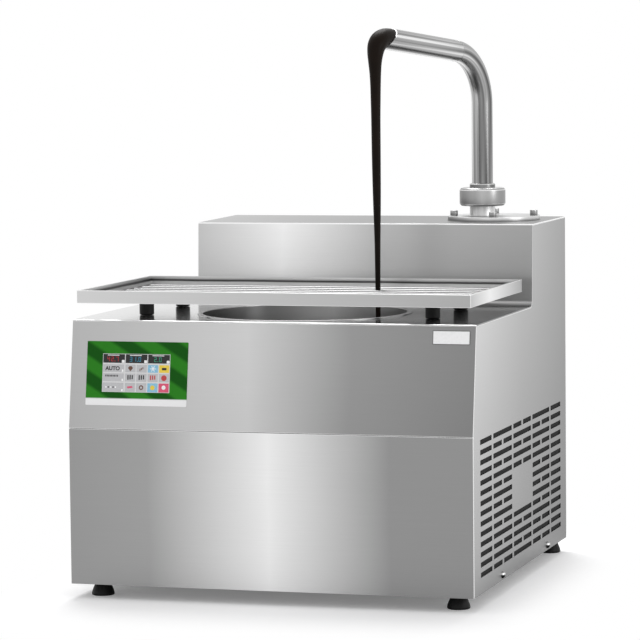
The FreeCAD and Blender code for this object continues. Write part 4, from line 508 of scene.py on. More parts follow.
class TEMPERING_OT_stage(bpy.types.Operator):
    """Pale floor, even surround, two soft lamps and the camera"""

    bl_idname = "tempering.stage"
    bl_label = "Studio"

    def execute(self, context):
        scene = context.scene
        chosen = settings("stage")
        scene.view_settings.view_transform = "Standard"
        world = bpy.data.worlds.new("surround")
        scene.world = world
        world.use_nodes = True
        tree = world.node_tree
        tree.nodes.clear()
        path = add(tree, "ShaderNodeLightPath")
        direct = add(tree, "ShaderNodeMath", {
            0: path.outputs["Is Camera Ray"], 1: path.outputs["Is Glossy Ray"],
        }, operation="MAXIMUM")
        seen = add(tree, "ShaderNodeMath", {0: direct.outputs[0], 1: path.outputs["Is Transmission Ray"]},
                   operation="MAXIMUM")
        even = add(tree, "ShaderNodeBackground", {
            "Color": linear("#FBFBFC"), "Strength": chosen.world_strength,
        })
        white = add(tree, "ShaderNodeBackground", {"Color": (1, 1, 1, 1), "Strength": 1.0})
        mixed = add(tree, "ShaderNodeMixShader", {
            0: seen.outputs[0], 1: even.outputs[0], 2: white.outputs[0],
        })
        add(tree, "ShaderNodeOutputWorld", {"Surface": mixed.outputs[0]})

        bm = bmesh.new()
        bmesh.ops.create_circle(bm, cap_ends=True, cap_tris=True, radius=chosen.floor_radius, segments=96)
        mesh = bpy.data.meshes.new("floor")
        bm.to_mesh(mesh)
        bm.free()
        floor = bpy.data.objects.new("floor", mesh)
        scene.collection.objects.link(floor)
        mesh.materials.append(self.paper())

        self.lamp("overhead_softbox", (-0.4, 1.3, 3.0), (0, 0, 0.3), 2.2, 60)
        self.lamp("right_softbox", (3.4, -0.9, 1.2), (0.1, 0, 0.35), 1.4, 14)
        self.camera()
        return {"FINISHED"}

    def paper(self):
        """Matt white paper sweep; away from the machine it goes over into the white of the surround."""
        made, tree = blank("paper_floor")
        place = add(tree, "ShaderNodeTexCoord").outputs["Object"]
        fibre = add(tree, "ShaderNodeTexNoise", {"Vector": place, "Scale": 300.0})
        tone = add(tree, "ShaderNodeValToRGB", {"Fac": fibre.outputs["Fac"]}, [
            (0, "#F4F4F4"), (1, "#F8F8F8"),
        ])
        path = add(tree, "ShaderNodeLightPath")
        # The camera sees the paper a little lifted, so that only the machine's own shadow stays grey.
        lift = add(tree, "ShaderNodeMath", {0: path.outputs["Is Camera Ray"], 1: 0.17}, operation="MULTIPLY")
        glow = add(tree, "ShaderNodeEmission", {"Color": (1, 1, 1, 1), "Strength": lift.outputs[0]})
        matt = add(tree, "ShaderNodeBsdfDiffuse", {"Color": tone.outputs["Color"]})
        paper = add(tree, "ShaderNodeAddShader", {0: matt.outputs[0], 1: glow.outputs[0]})
        bright = add(tree, "ShaderNodeEmission", {"Color": (1, 1, 1, 1), "Strength": 1.0})
        seen = add(tree, "ShaderNodeMath", {
            0: path.outputs["Is Camera Ray"], 1: path.outputs["Is Glossy Ray"],
        }, operation="MAXIMUM")
        # How far a spot lies outside the machine's footprint, with the shadow's reach as the unit.
        spot = add(tree, "ShaderNodeVectorMath", {0: place}, operation="ABSOLUTE")
        beyond = add(tree, "ShaderNodeVectorMath", {
            0: spot.outputs[0], 1: (0.28, 0.275, 0),
        }, operation="SUBTRACT")
        outside = add(tree, "ShaderNodeVectorMath", {
            0: beyond.outputs[0], 1: (0, 0, 0),
        }, operation="MAXIMUM")
        scaled = add(tree, "ShaderNodeVectorMath", {
            0: outside.outputs[0], 1: (0.11, 0.27, 1),
        }, operation="DIVIDE")
        away = add(tree, "ShaderNodeVectorMath", {0: scaled.outputs[0]}, operation="LENGTH")
        fade = add(tree, "ShaderNodeMapRange", {
            "Value": away.outputs["Value"], "From Min": 0.1, "From Max": 1.0,
        }, interpolation_type="SMOOTHSTEP")
        share = add(tree, "ShaderNodeMath", {0: seen.outputs[0], 1: fade.outputs["Result"]},
                    operation="MULTIPLY")
        mixed = add(tree, "ShaderNodeMixShader", {
            0: share.outputs[0], 1: paper.outputs[0], 2: bright.outputs[0],
        })
        add(tree, "ShaderNodeOutputMaterial", {"Surface": mixed.outputs[0]})
        return made

    def lamp(self, name, place, aim, size, power):
        light = bpy.data.lights.new(name, "AREA")
        light.shape = "DISK"
        light.size = size
        light.energy = power
        made = bpy.data.objects.new(name, light)
        made.location = place
        made.rotation_euler = (Vector(aim) - Vector(place)).to_track_quat("-Z", "Y").to_euler()
        bpy.context.scene.collection.objects.link(made)

    def camera(self):
        yaw, pitch, roll, distance = 0.290545, 0.081664, -0.010437, 4.5
        aim = Vector((0.0196, -0.0916, 0.3661))
        level = math.cos(pitch)
        forward = Vector((-math.sin(yaw) * level, math.cos(yaw) * level, -math.sin(pitch)))
        right = Vector((math.cos(yaw), math.sin(yaw), 0))
        up = right.cross(forward)
        across = right * math.cos(roll) + up * math.sin(roll)
        raised = up * math.cos(roll) - right * math.sin(roll)
        turn = Matrix((across, raised, -forward)).transposed().to_4x4()
        data = bpy.data.cameras.new("camera")
        data.lens = 184.907
        data.sensor_width = 36
        made = bpy.data.objects.new("camera", data)
        made.matrix_world = Matrix.Translation(aim - forward * distance) @ turn
        bpy.context.scene.collection.objects.link(made)
        bpy.context.scene.camera = made


# ---------------------------------------------------------------- cabinet

class TEMPERING_OT_cabinet(bpy.types.Operator):
    """Folded sheet panels with rounded edges in a painted highlight, and painted reflection bands on the
    sheets
    """

    bl_idname = "tempering.cabinet"
    bl_label = "Cabinet panels"

    def execute(self, context):
        chosen = settings("steel")
        radius = chosen.edge_radius
        # The rounded edges take white steel as a painted highlight.
        edge = plain_steel("edge_painted_highlight", "#FFFFFF", 0.3, 0.02)
        broad = radius * 1.5

        def sheet(key, roughness=chosen.sheet_roughness):
            return sheet_with_painted_reflections("brushed_" + key, *SHEET_PAINTED_REFLECTIONS[key], roughness)

        softened("lower_front", "front_lower_panel", [sheet("lower_front"), edge], "cabinet",
                 radius * 0.6, lambda at: at.y < FRONT + 1 and at.z > LOWER_LOW.z + 1)
        softened("upper_front", "front_upper_panel", [sheet("upper_front"), edge], "cabinet",
                 radius * 0.6, lambda at: at.y < self.front_at(at.z) + 1)
        folded = softened("deck_and_hump_front", "deck_panel",
                          [sheet("deck", chosen.deck_roughness), sheet("hump_front"), edge],
                          "cabinet", radius,
                          lambda at: at.z > DECK - 0.5 and at.y < DECK_LOW.y + 1)
        # The hump's front takes its own sheet with a bright painted highlight band, the deck its darker
        # painted reflection tones.
        for face in folded.data.polygons:
            if face.material_index != 2:
                face.material_index = 1 if face.center.z > (DECK + 4) * MM else 0
        cover = softened("hump_top", "hump_cover", [sheet("hump_top"), edge], "cabinet",
                         broad, lambda at: at.z > HUMP_HIGH.z - 0.5)
        # The faces of the cover's folded lip along the hump's front and right edges take the white edge
        # material, a painted highlight.
        for face in cover.data.polygons:
            if face.normal.y < -0.5 or face.normal.x > 0.5:
                face.material_index = 1
        side = sheet("side")
        softened("right_side", "right_side_panel", [side, edge], "cabinet", radius * 0.7,
                 lambda at: at.x > HALF_WIDTH - 0.2 and self.round_the_side(at))
        softened("left_side", "left_side_panel", [side, edge], "cabinet", radius * 0.7,
                 lambda at: at.x < 0.2 - HALF_WIDTH)
        softened("rear_sheet", "rear_panel", [sheet("rear"), edge], "cabinet",
                 radius * 0.7, lambda at: at.y > REAR_HIGH.y - 0.2)
        return {"FINISHED"}

    def front_at(self, height):
        """Place of the leaning front at a height."""
        return FRONT + max(height - SEAM, 0) * math.tan(LEAN)

    def round_the_side(self, at):
        """True on the outline of the side, where the slots have no part."""
        return at.z > SLOTS_TOP or at.y < FRONT + SLOTS_SETBACK or at.y > REAR_HIGH.y - SLOTS_SETBACK


# ---------------------------------------------------------------- round metal pieces

def spout_plane():
    """Foot of the pipe, and the ways outwards and sideways of the plane that its middle line lies in."""
    heading = math.pi / 2 + settings("spout").turn
    out = Vector((math.cos(-heading), math.sin(-heading), 0))
    return Vector((PUMP.x * MM, PUMP.y * MM, 0)), out, Vector((-out.y, out.x, 0))


def swept(stations, steps, mouth=None, capped=False):
    """A closed skin round a middle line; a station is (place, way, radius, on the mouth's plane)."""
    foot, out, sideways = spout_plane()
    rise = Vector((0, 0, 1))
    bm = bmesh.new()
    coordinates = bm.loops.layers.uv.new("round_and_along")
    rings = []
    for spot, way, radius, slanted in stations:
        along = Vector((math.cos(way), math.sin(way)))
        inward = Vector((math.sin(way), -math.cos(way)))
        ring = []
        for step in range(steps):
            angle = 2 * math.pi * step / steps
            flat = spot + inward * radius * math.cos(angle)
            if slanted:
                normal = Vector((math.cos(mouth[1]), math.sin(mouth[1])))
                flat = flat + along * ((mouth[0] - flat).dot(normal) / along.dot(normal))
            aside = sideways * radius * math.sin(angle)
            ring.append(bm.verts.new(foot + out * flat.x + rise * flat.y + aside))
        rings.append(ring)
    if capped:
        bm.faces.new(rings[0])
        bm.faces.new(rings[-1])
    else:
        rings.append(rings[0])
    for index, (first, second) in enumerate(zip(rings, rings[1:])):
        for step in range(steps):
            after = (step + 1) % steps
            face = bm.faces.new((first[step], first[after], second[after], second[step]))
            for loop, (u, v) in zip(face.loops, ((step, index), (step + 1, index), (step + 1, index + 1),
                                                 (step, index + 1))):
                loop[coordinates].uv = (u / steps, v)
    bmesh.ops.recalc_face_normals(bm, faces=bm.faces)
    mesh = bpy.data.meshes.new("swept")
    bm.to_mesh(mesh)
    bm.free()
    return mesh


class TEMPERING_OT_spout(bpy.types.Operator):
    """Polished pouring pipe with its elbow, weld and slanted mouth"""

    bl_idname = "tempering.spout"
    bl_label = "Pouring spout"
    steps = 64

    def execute(self, context):
        chosen = settings("spout")
        outer, bore, bend, climb = chosen.radius, chosen.bore, chosen.bend, chosen.climb
        tube_low, tube_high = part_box("spout_tube")
        corner = tube_high.z - chosen.arm * math.sin(climb) - outer * math.cos(climb)
        reach = bend * math.tan((math.pi / 2 - climb) / 2)
        start = tube_low.z
        mouth = Vector((chosen.arm * math.cos(climb), corner + chosen.arm * math.sin(climb)))

        # Middle line in the pipe's own plane: (reach from the upright, height), and its direction.
        upright, elbow, straight = 8, 32, 8
        line = [(Vector((0, start + (corner - reach - start) * t / upright)), math.pi / 2, 0)
                for t in range(upright + 1)]
        for t in range(1, elbow + 1):
            turn = (math.pi / 2 - climb) * t / elbow
            spot = Vector((bend - bend * math.cos(turn), corner - reach + bend * math.sin(turn)))
            line.append((spot, math.pi / 2 - turn, 0))
        end = line[-1][0]
        ahead = Vector((math.cos(climb), math.sin(climb)))
        # A ground weld, 2 mm wide, joins the elbow to the arm.
        for step, swell in ((0.5, chosen.weld), (2.0, chosen.weld), (2.5, 0)):
            line.append((end + ahead * step * MM, climb, swell))
        run = (mouth - end).dot(ahead)
        line += [(end + ahead * run * t / straight, climb, 0) for t in range(1, straight + 1)]

        last = len(line) - 1
        stations = [(spot, way, outer + swell, index == last)
                    for index, (spot, way, swell) in enumerate(line)]
        stations += [(spot, way, bore, index == 0)
                     for index, (spot, way, swell) in enumerate(reversed(line))]
        mesh = swept(stations, self.steps, (mouth, climb + chosen.slant))
        for loop in mesh.uv_layers["round_and_along"].data:
            # V runs from 0 at the foot over the elbow, 0.36 to 0.64, to 1 at the mouth.
            station = min(loop.uv[1], 2 * last + 1 - loop.uv[1])
            if station < upright:
                loop.uv[1] = 0.36 * station / upright
            elif station < upright + elbow:
                loop.uv[1] = 0.36 + 0.28 * (station - upright) / elbow
            else:
                loop.uv[1] = 0.64 + 0.36 * (station - upright - elbow) / (last - upright - elbow)
        # The cut ring at the mouth takes a white painted highlight.
        for face in mesh.polygons[last * self.steps:(last + 1) * self.steps]:
            face.material_index = 1
        smooth_by_angle(mesh, math.radians(40))
        finish = [pipe_painted_reflections("pipe_painted_reflections"), plain_steel("mouth_painted_highlight", "#FFFFFF", 0.3)]
        piece("pouring_pipe", mesh, finish, "spout", ("spout_tube",))
        return {"FINISHED"}


class TEMPERING_OT_union(bpy.types.Operator):
    """Union nut, pipe collar and the flange they stand on"""

    bl_idname = "tempering.union"
    bl_label = "Union and flange"

    def execute(self, context):
        centre = (PUMP.x, PUMP.y)
        # The tones of the nut, collar, flange face and flange rim run from left to right as a painted
        # reflection.
        ring = turned_with_painted_reflection("turned_union", [(0.0, "#787878"), (0.6, "#B8B8B8"), (1.0, "#949494")], 0.34,
                            centre, (NUT_HIGH.x - NUT_LOW.x) / 2)
        neck = turned_with_painted_reflection("turned_collar", [(0.0, "#545454"), (0.6, "#8A8A8A"), (1.0, "#747474")], 0.34,
                            centre, 18.2)
        centre = (FLANGE.x, FLANGE.y)
        reach = (FLANGE_HIGH.x - FLANGE_LOW.x) / 2
        face = turned_with_painted_reflection("turned_flange", [(0.0, "#B4B4B4"), (0.4, "#C0C0C0"), (1.0, "#9C9C9C")], 0.34,
                            centre, reach)
        rim = turned_with_painted_reflection("flange_rim_painted_reflection", [(0.0, "#6A6A6A"), (0.5, "#DCDCDC"), (1.0, "#CCCCCC")], 0.34,
                           centre, reach)
        # The rounded edges of the nut, collar and flange take a pale painted highlight.
        edge = plain_steel("turned_edge_painted_highlight", "#E8E8E8", 0.3)
        softened("union_ring", "union_nut", [ring, edge], "spout_nut", 0.0006, sharp=25)
        softened("pipe_collar", "spout_collar", [neck, edge], "spout", 0.0004, sharp=40)
        flange = softened("flange", "flange_plate", [face, rim, edge], "cabinet", 0.0006,
                          sharp=50)
        # The flange's upright faces take the rim tones: a painted reflection, dark on the left and bright in
        # the middle.
        for one in flange.data.polygons:
            if one.material_index == 0 and abs(one.normal.z) < 0.5:
                one.material_index = 1
        return {"FINISHED"}


# Middle line of the running chocolate: reach from the pump, height and radius.
FALL = (
    (222.0, 748.2, 13.1), (238.0, 749.8, 13.1), (250.5, 749.5, 13.3), (261.0, 746.0, 13.4),
    (268.0, 739.5, 12.7), (271.5, 730.0, 11.2), (272.6, 717.0, 9.3), (272.2, 703.0, 8.0),
    (271.9, 684.0, 7.2), (271.9, 664.0, 6.8), (271.9, 640.0, 6.4), (271.6, 585.0, 6.1),
    (271.0, 529.0, 5.4), (270.5, 475.0, 4.2), (270.5, 420.0, 3.6), (270.5, 369.0, 3.4), (270.5, 330.4, 3.3),
)


def eased(points, parts):
    """Points of a smooth curve through the given ones."""
    result = []
    for index in range(len(points) - 1):
        before, first, second, beyond = (
            Vector(points[min(max(index + step, 0), len(points) - 1)]) for step in (-1, 0, 1, 2)
        )
        for part in range(parts):
            t = part / parts
            squared = before * 2 - first * 5 + second * 4 - beyond
            cubed = first * 3 - before - second * 3 + beyond
            result.append((first * 2 + (second - before) * t + squared * t ** 2 + cubed * t ** 3) / 2)
    return result + [Vector(points[-1])]


class TEMPERING_OT_chocolate(bpy.types.Operator):
    """Chocolate that hangs from the mouth and falls into the bowl"""

    bl_idname = "tempering.chocolate"
    bl_label = "Running chocolate"

    def execute(self, context):
        melted = melted_chocolate("melted_chocolate")
        spots = eased(FALL, 5)
        stations = []
        for index, spot in enumerate(spots):
            ahead = spots[min(index + 1, len(spots) - 1)] - spots[max(index - 1, 0)]
            way = math.atan2(ahead.y, ahead.x)
            stations.append((Vector((spot.x, spot.y)) * MM, way, spot.z * MM, False))
        mesh = swept(stations, 40, capped=True)
        smooth_by_angle(mesh, math.radians(60))
        piece("falling_chocolate", mesh, melted, "spout", ("chocolate_stream",))
        softened("bowl_chocolate", "chocolate_fill", melted, "cabinet", sharp=60)
        return {"FINISHED"}


class TEMPERING_OT_bowl(bpy.types.Operator):
    """Drawn bowl with its rolled rim"""

    bl_idname = "tempering.bowl"
    bl_label = "Bowl"

    def execute(self, context):
        centre = (BOWL.x, BOWL.y)
        # The wall's dark, pale and dark tones across the bowl, and the flange's tones, are a painted
        # reflection.
        wall = turned_with_painted_reflection("drawn_bowl_painted_reflection", [(0.0, "#6A6A6A"), (0.5, "#E0E0E0"), (1.0, "#707070")], 0.3,
                            centre, 140)
        flat = turned_with_painted_reflection("bowl_flange", [(0.0, "#BCBCBC"), (0.5, "#C4C4C4"), (1.0, "#A8A8A8")], 0.2,
                            centre, 147)
        rim = plain_steel("bowl_rim_painted_highlight", "#FFFFFF", 0.25)
        shell = softened("bowl_shell", "bowl", [wall, flat, rim], "cabinet", 0.0005,
                         self.mouth, 40)
        for face in shell.data.polygons:
            if face.material_index == 0 and face.center.z > DECK * MM:
                face.material_index = 1
        return {"FINISHED"}

    def mouth(self, at):
        """True on the inner edge of the rim, which takes a white painted highlight."""
        return at.z > BOWL_HIGH.z - 0.5 and (at - BOWL).to_2d().length < (BOWL_HIGH.x - BOWL_LOW.x) / 2 - 2


class FrameSettings(bpy.types.PropertyGroup):
    """Rods of the moulding frame."""

    rod_radius: FloatProperty(name="Rod radius", description="Radius of the drawn rods",
                              subtype="DISTANCE", unit="LENGTH", default=0.003)
    rod_pitch: FloatProperty(name="Rod pitch", description="From one rod to the next",
                             subtype="DISTANCE", unit="LENGTH", default=0.033)
    rods: IntProperty(name="Rods", description="Number of rods", min=1, max=20, default=8)


class TEMPERING_OT_moulding_frame(bpy.types.Operator):
    """Lift-off frame with its rods, cross bars and rubber feet"""

    bl_idname = "tempering.moulding_frame"
    bl_label = "Moulding frame"

    def execute(self, context):
        chosen = settings("frame")
        # The surround's top, right end, ledges and inner walls are lit and shaded copies of one steel:
        # painted reflection tones on the top, a painted highlight on the right end, painted shade on the
        # ledges and inside.
        tray = sheet_with_painted_reflections("brushed_tray", *SHEET_PAINTED_REFLECTIONS["tray"], 0.28)
        end = sheet_with_painted_reflections("tray_end_painted_reflection", *SHEET_PAINTED_REFLECTIONS["tray_end"], 0.28)
        ledge = plain_steel("tray_ledge", "#6A6A6A", 0.3)
        inner = self.inner_wall_painted_shade()
        # The surround's rounded outer edges take a near white painted highlight.
        edge = plain_steel("tray_edge_painted_highlight", "#F4F4F4", 0.3)
        surround = softened("tray_surround", "tray_frame", [tray, end, ledge, inner, edge], "moulding_frame",
                            0.0006, self.outline)
        centre = (TRAY_LOW + TRAY_HIGH) / 2 * MM
        # Faces are sorted by their direction into these painted light and shade copies.
        for face in surround.data.polygons:
            if face.material_index == 4:
                continue
            away = (face.center - centre) * face.normal
            if abs(face.normal.z) > 0.7:
                face.material_index = 0 if face.center.z > (TRAY_HIGH.z - 0.5) * MM else 2
            elif away.x + away.y < 0:
                face.material_index = 3
            elif face.normal.x > 0.7:
                face.material_index = 1

        low, high = corners("tray_grid")
        drawn = plain_steel("drawn_rods", "#969696", 0.26)
        start = Vector(((low.x + high.x) / 2, FRONT + 25, high.z - chosen.rod_radius / MM)) * MM
        mesh = grown("tray_rods", self.rods, {
            "Rods": chosen.rods, "First rod": start, "Step": Vector((0, chosen.rod_pitch, 0)),
            "Rod radius": chosen.rod_radius, "Rod length": (high.x - low.x) * MM,
        }, drawn)
        piece("tray_rods", mesh, drawn, "moulding_frame", ("tray_grid",))
        self.bars(low, high)

        rubber = speckled("black_rubber", "#060606", "#101010", 0.5, 900.0, Specular_IOR_Level=0.3)
        softened("tray_pads", "tray_feet", rubber, "moulding_frame", sharp=40)
        steel = plain_steel("plain_screws", "#D8D8D8", 0.2)
        softened("tray_fixings", "tray_screws", steel, "moulding_frame", sharp=40)
        return {"FINISHED"}

    def inner_wall_painted_shade(self):
        """Inner wall of the surround: painted shade as thin dark lines at its folds and a dark band, between
        bands of painted highlight.
        """
        made, tree = blank("tray_inner_painted_shade")
        place = add(tree, "ShaderNodeTexCoord").outputs["Object"]
        smudge = add(tree, "ShaderNodeTexNoise", {"Vector": place, "Scale": 9.0, "Detail": 2.0})
        apart = add(tree, "ShaderNodeSeparateXYZ", {"Vector": place})
        wavy = add(tree, "ShaderNodeMath", {0: smudge.outputs["Fac"], 1: 0.0012, 2: apart.outputs["Z"]},
                   operation="MULTIPLY_ADD")
        share = add(tree, "ShaderNodeMapRange", {
            "Value": wavy.outputs[0], "From Min": TRAY_LOW.z * MM, "From Max": TRAY_HIGH.z * MM,
        })
        tone = add(tree, "ShaderNodeValToRGB", {"Fac": share.outputs["Result"]}, [
            (0.00, "#B0B0B0"), (0.26, "#D0D0D0"), (0.32, "#6A6A6A"), (0.38, "#D4D4D4"), (0.60, "#DCDCDC"),
            (0.66, "#505050"), (0.76, "#5C5C5C"), (0.84, "#C4C4C4"), (1.00, "#E8E8E8"),
        ])
        surface(tree, Base_Color=tone.outputs["Color"], Metallic=1.0, Roughness=0.3)
        return made

    def outline(self, at):
        """True on the outer edges of the surround and along its top."""
        inset = min(at.x - TRAY_LOW.x, TRAY_HIGH.x - at.x, at.y - TRAY_LOW.y, TRAY_HIGH.y - at.y)
        return inset < 0.5 or at.z > TRAY_HIGH.z - 0.5 and at.y < TRAY_LOW.y + 8

    def rods(self, tree, given):
        """Round rods laid side by side."""
        line = add(tree, "GeometryNodeMeshLine", {
            "Count": given["Rods"], "Start Location": given["First rod"], "Offset": given["Step"],
        }, mode="OFFSET")
        rod = add(tree, "GeometryNodeMeshCylinder", {
            "Vertices": 24, "Radius": given["Rod radius"], "Depth": given["Rod length"],
        })
        return add(tree, "GeometryNodeInstanceOnPoints", {
            "Points": line.outputs["Mesh"], "Instance": rod.outputs["Mesh"], "Rotation": (0, math.pi / 2, 0),
        }).outputs["Instances"]

    def bars(self, low, high):
        """Flat bars under the rods, with their edges broken."""
        bm = bmesh.new()
        for middle_x in (-206, 198):
            size = Vector((30, high.y - low.y, 3))
            centre = Vector((middle_x, (low.y + high.y) / 2, low.z + size.z / 2))
            turned = Matrix.Translation(centre * MM) @ Matrix.Diagonal((*(size * MM), 1))
            bmesh.ops.create_cube(bm, size=1, matrix=turned)
        bmesh.ops.bevel(bm, geom=bm.edges[:], offset=0.0004, segments=2, affect="EDGES", profile=0.5)
        mesh = bpy.data.meshes.new("tray_bars")
        bm.to_mesh(mesh)
        bm.free()
        smooth_by_angle(mesh, math.radians(35))
        piece("tray_bars", mesh, plain_steel("flat_bars", "#9A9A9A", 0.3), "moulding_frame")


class TEMPERING_OT_feet(bpy.types.Operator):
    """Levelling feet of black rubber, flared towards the ground"""

    bl_idname = "tempering.feet"
    bl_label = "Levelling feet"

    def execute(self, context):
        rubber = speckled("foot_rubber", "#050505", "#0E0E0E", 0.5, 700.0, Specular_IOR_Level=0.25)
        stem = 4
        flare = [
            (0, 0), (14.3, 0), (15.3, 0.7), (15.5, 2.0), (15.3, 3.6), (14.5, 6.5), (12.9, 10.5), (11.4, 14.0),
            (9.9, 16.3), (8.2, 17.4), (6.0, 18.0), (5.2, 18.7), (5.0, 19.7), (stem, 19.7),
        ]
        for corner in ("front_left", "front_right", "rear_left", "rear_right"):
            low, high = corners("foot_" + corner)
            centre = (low + high) / 2
            mesh = lathe(flare + [(stem, high.z), (0, high.z)], centre, 48)
            smooth_by_angle(mesh, math.radians(40))
            piece("pad_" + corner, mesh, rubber, "levelling_" + corner, ("foot_" + corner,))
        return {"FINISHED"}


# ---------------------------------------------------------------- touch panel and badge

def on_lean(across, up, out):
    """A point of the leaning front, from its place across, up from the seam and out of the sheet."""
    return Vector((
        across,
        FRONT + up * math.sin(LEAN) - out * math.cos(LEAN),
        SEAM + up * math.cos(LEAN) + out * math.sin(LEAN),
    )) * MM


def plate(bm, outline, low, high, index):
    """A closed plate on the leaning front from an outline that runs anticlockwise."""
    base = [bm.verts.new(on_lean(x, up, low)) for x, up in outline]
    face = [bm.verts.new(on_lean(x, up, high)) for x, up in outline]
    made = [bm.faces.new(face), bm.faces.new(list(reversed(base)))]
    count = len(outline)
    for step in range(count):
        after = (step + 1) % count
        made.append(bm.faces.new((base[step], base[after], face[after], face[step])))
    for one in made:
        one.material_index = index
    return made[0]


def rectangle(left, low, right, high, corner=0.0, steps=4):
    """An anticlockwise rectangle with rounded corners."""
    if not corner:
        return [(left, low), (right, low), (right, high), (left, high)]
    points = []
    for x, y, start in ((right - corner, low + corner, -90), (right - corner, high - corner, 0),
                        (left + corner, high - corner, 90), (left + corner, low + corner, 180)):
        for step in range(steps + 1):
            angle = math.radians(start + 90 * step / steps)
            points.append((x + corner * math.cos(angle), y + corner * math.sin(angle)))
    return points


def disc(x, y, radius, steps=20):
    return [(x + radius * math.cos(2 * math.pi * s / steps), y + radius * math.sin(2 * math.pi * s / steps))
            for s in range(steps)]


SEGMENTS = {
    "0": "abcdef", "1": "bc", "2": "abged", "3": "abgcd", "4": "fgbc", "5": "afgcd", "6": "afgedc",
    "7": "abc", "8": "abcdefg", "9": "abcdfg",
}


def digit(bm, figure, left, low, width, height, thick, levels, index):
    """A seven segment figure of small plates."""
    mid = low + height / 2
    bars = {
        "a": (left, low + height - thick, left + width, low + height),
        "d": (left, low, left + width, low + thick),
        "g": (left, mid - thick / 2, left + width, mid + thick / 2),
        "f": (left, mid, left + thick, low + height),
        "b": (left + width - thick, mid, left + width, low + height),
        "e": (left, low, left + thick, mid),
        "c": (left + width - thick, low, left + width, mid),
    }
    inset = thick * 0.12
    for name in SEGMENTS[figure]:
        x0, y0, x1, y1 = bars[name]
        plate(bm, rectangle(x0 + inset, y0 + inset, x1 - inset, y1 - inset), *levels, index)


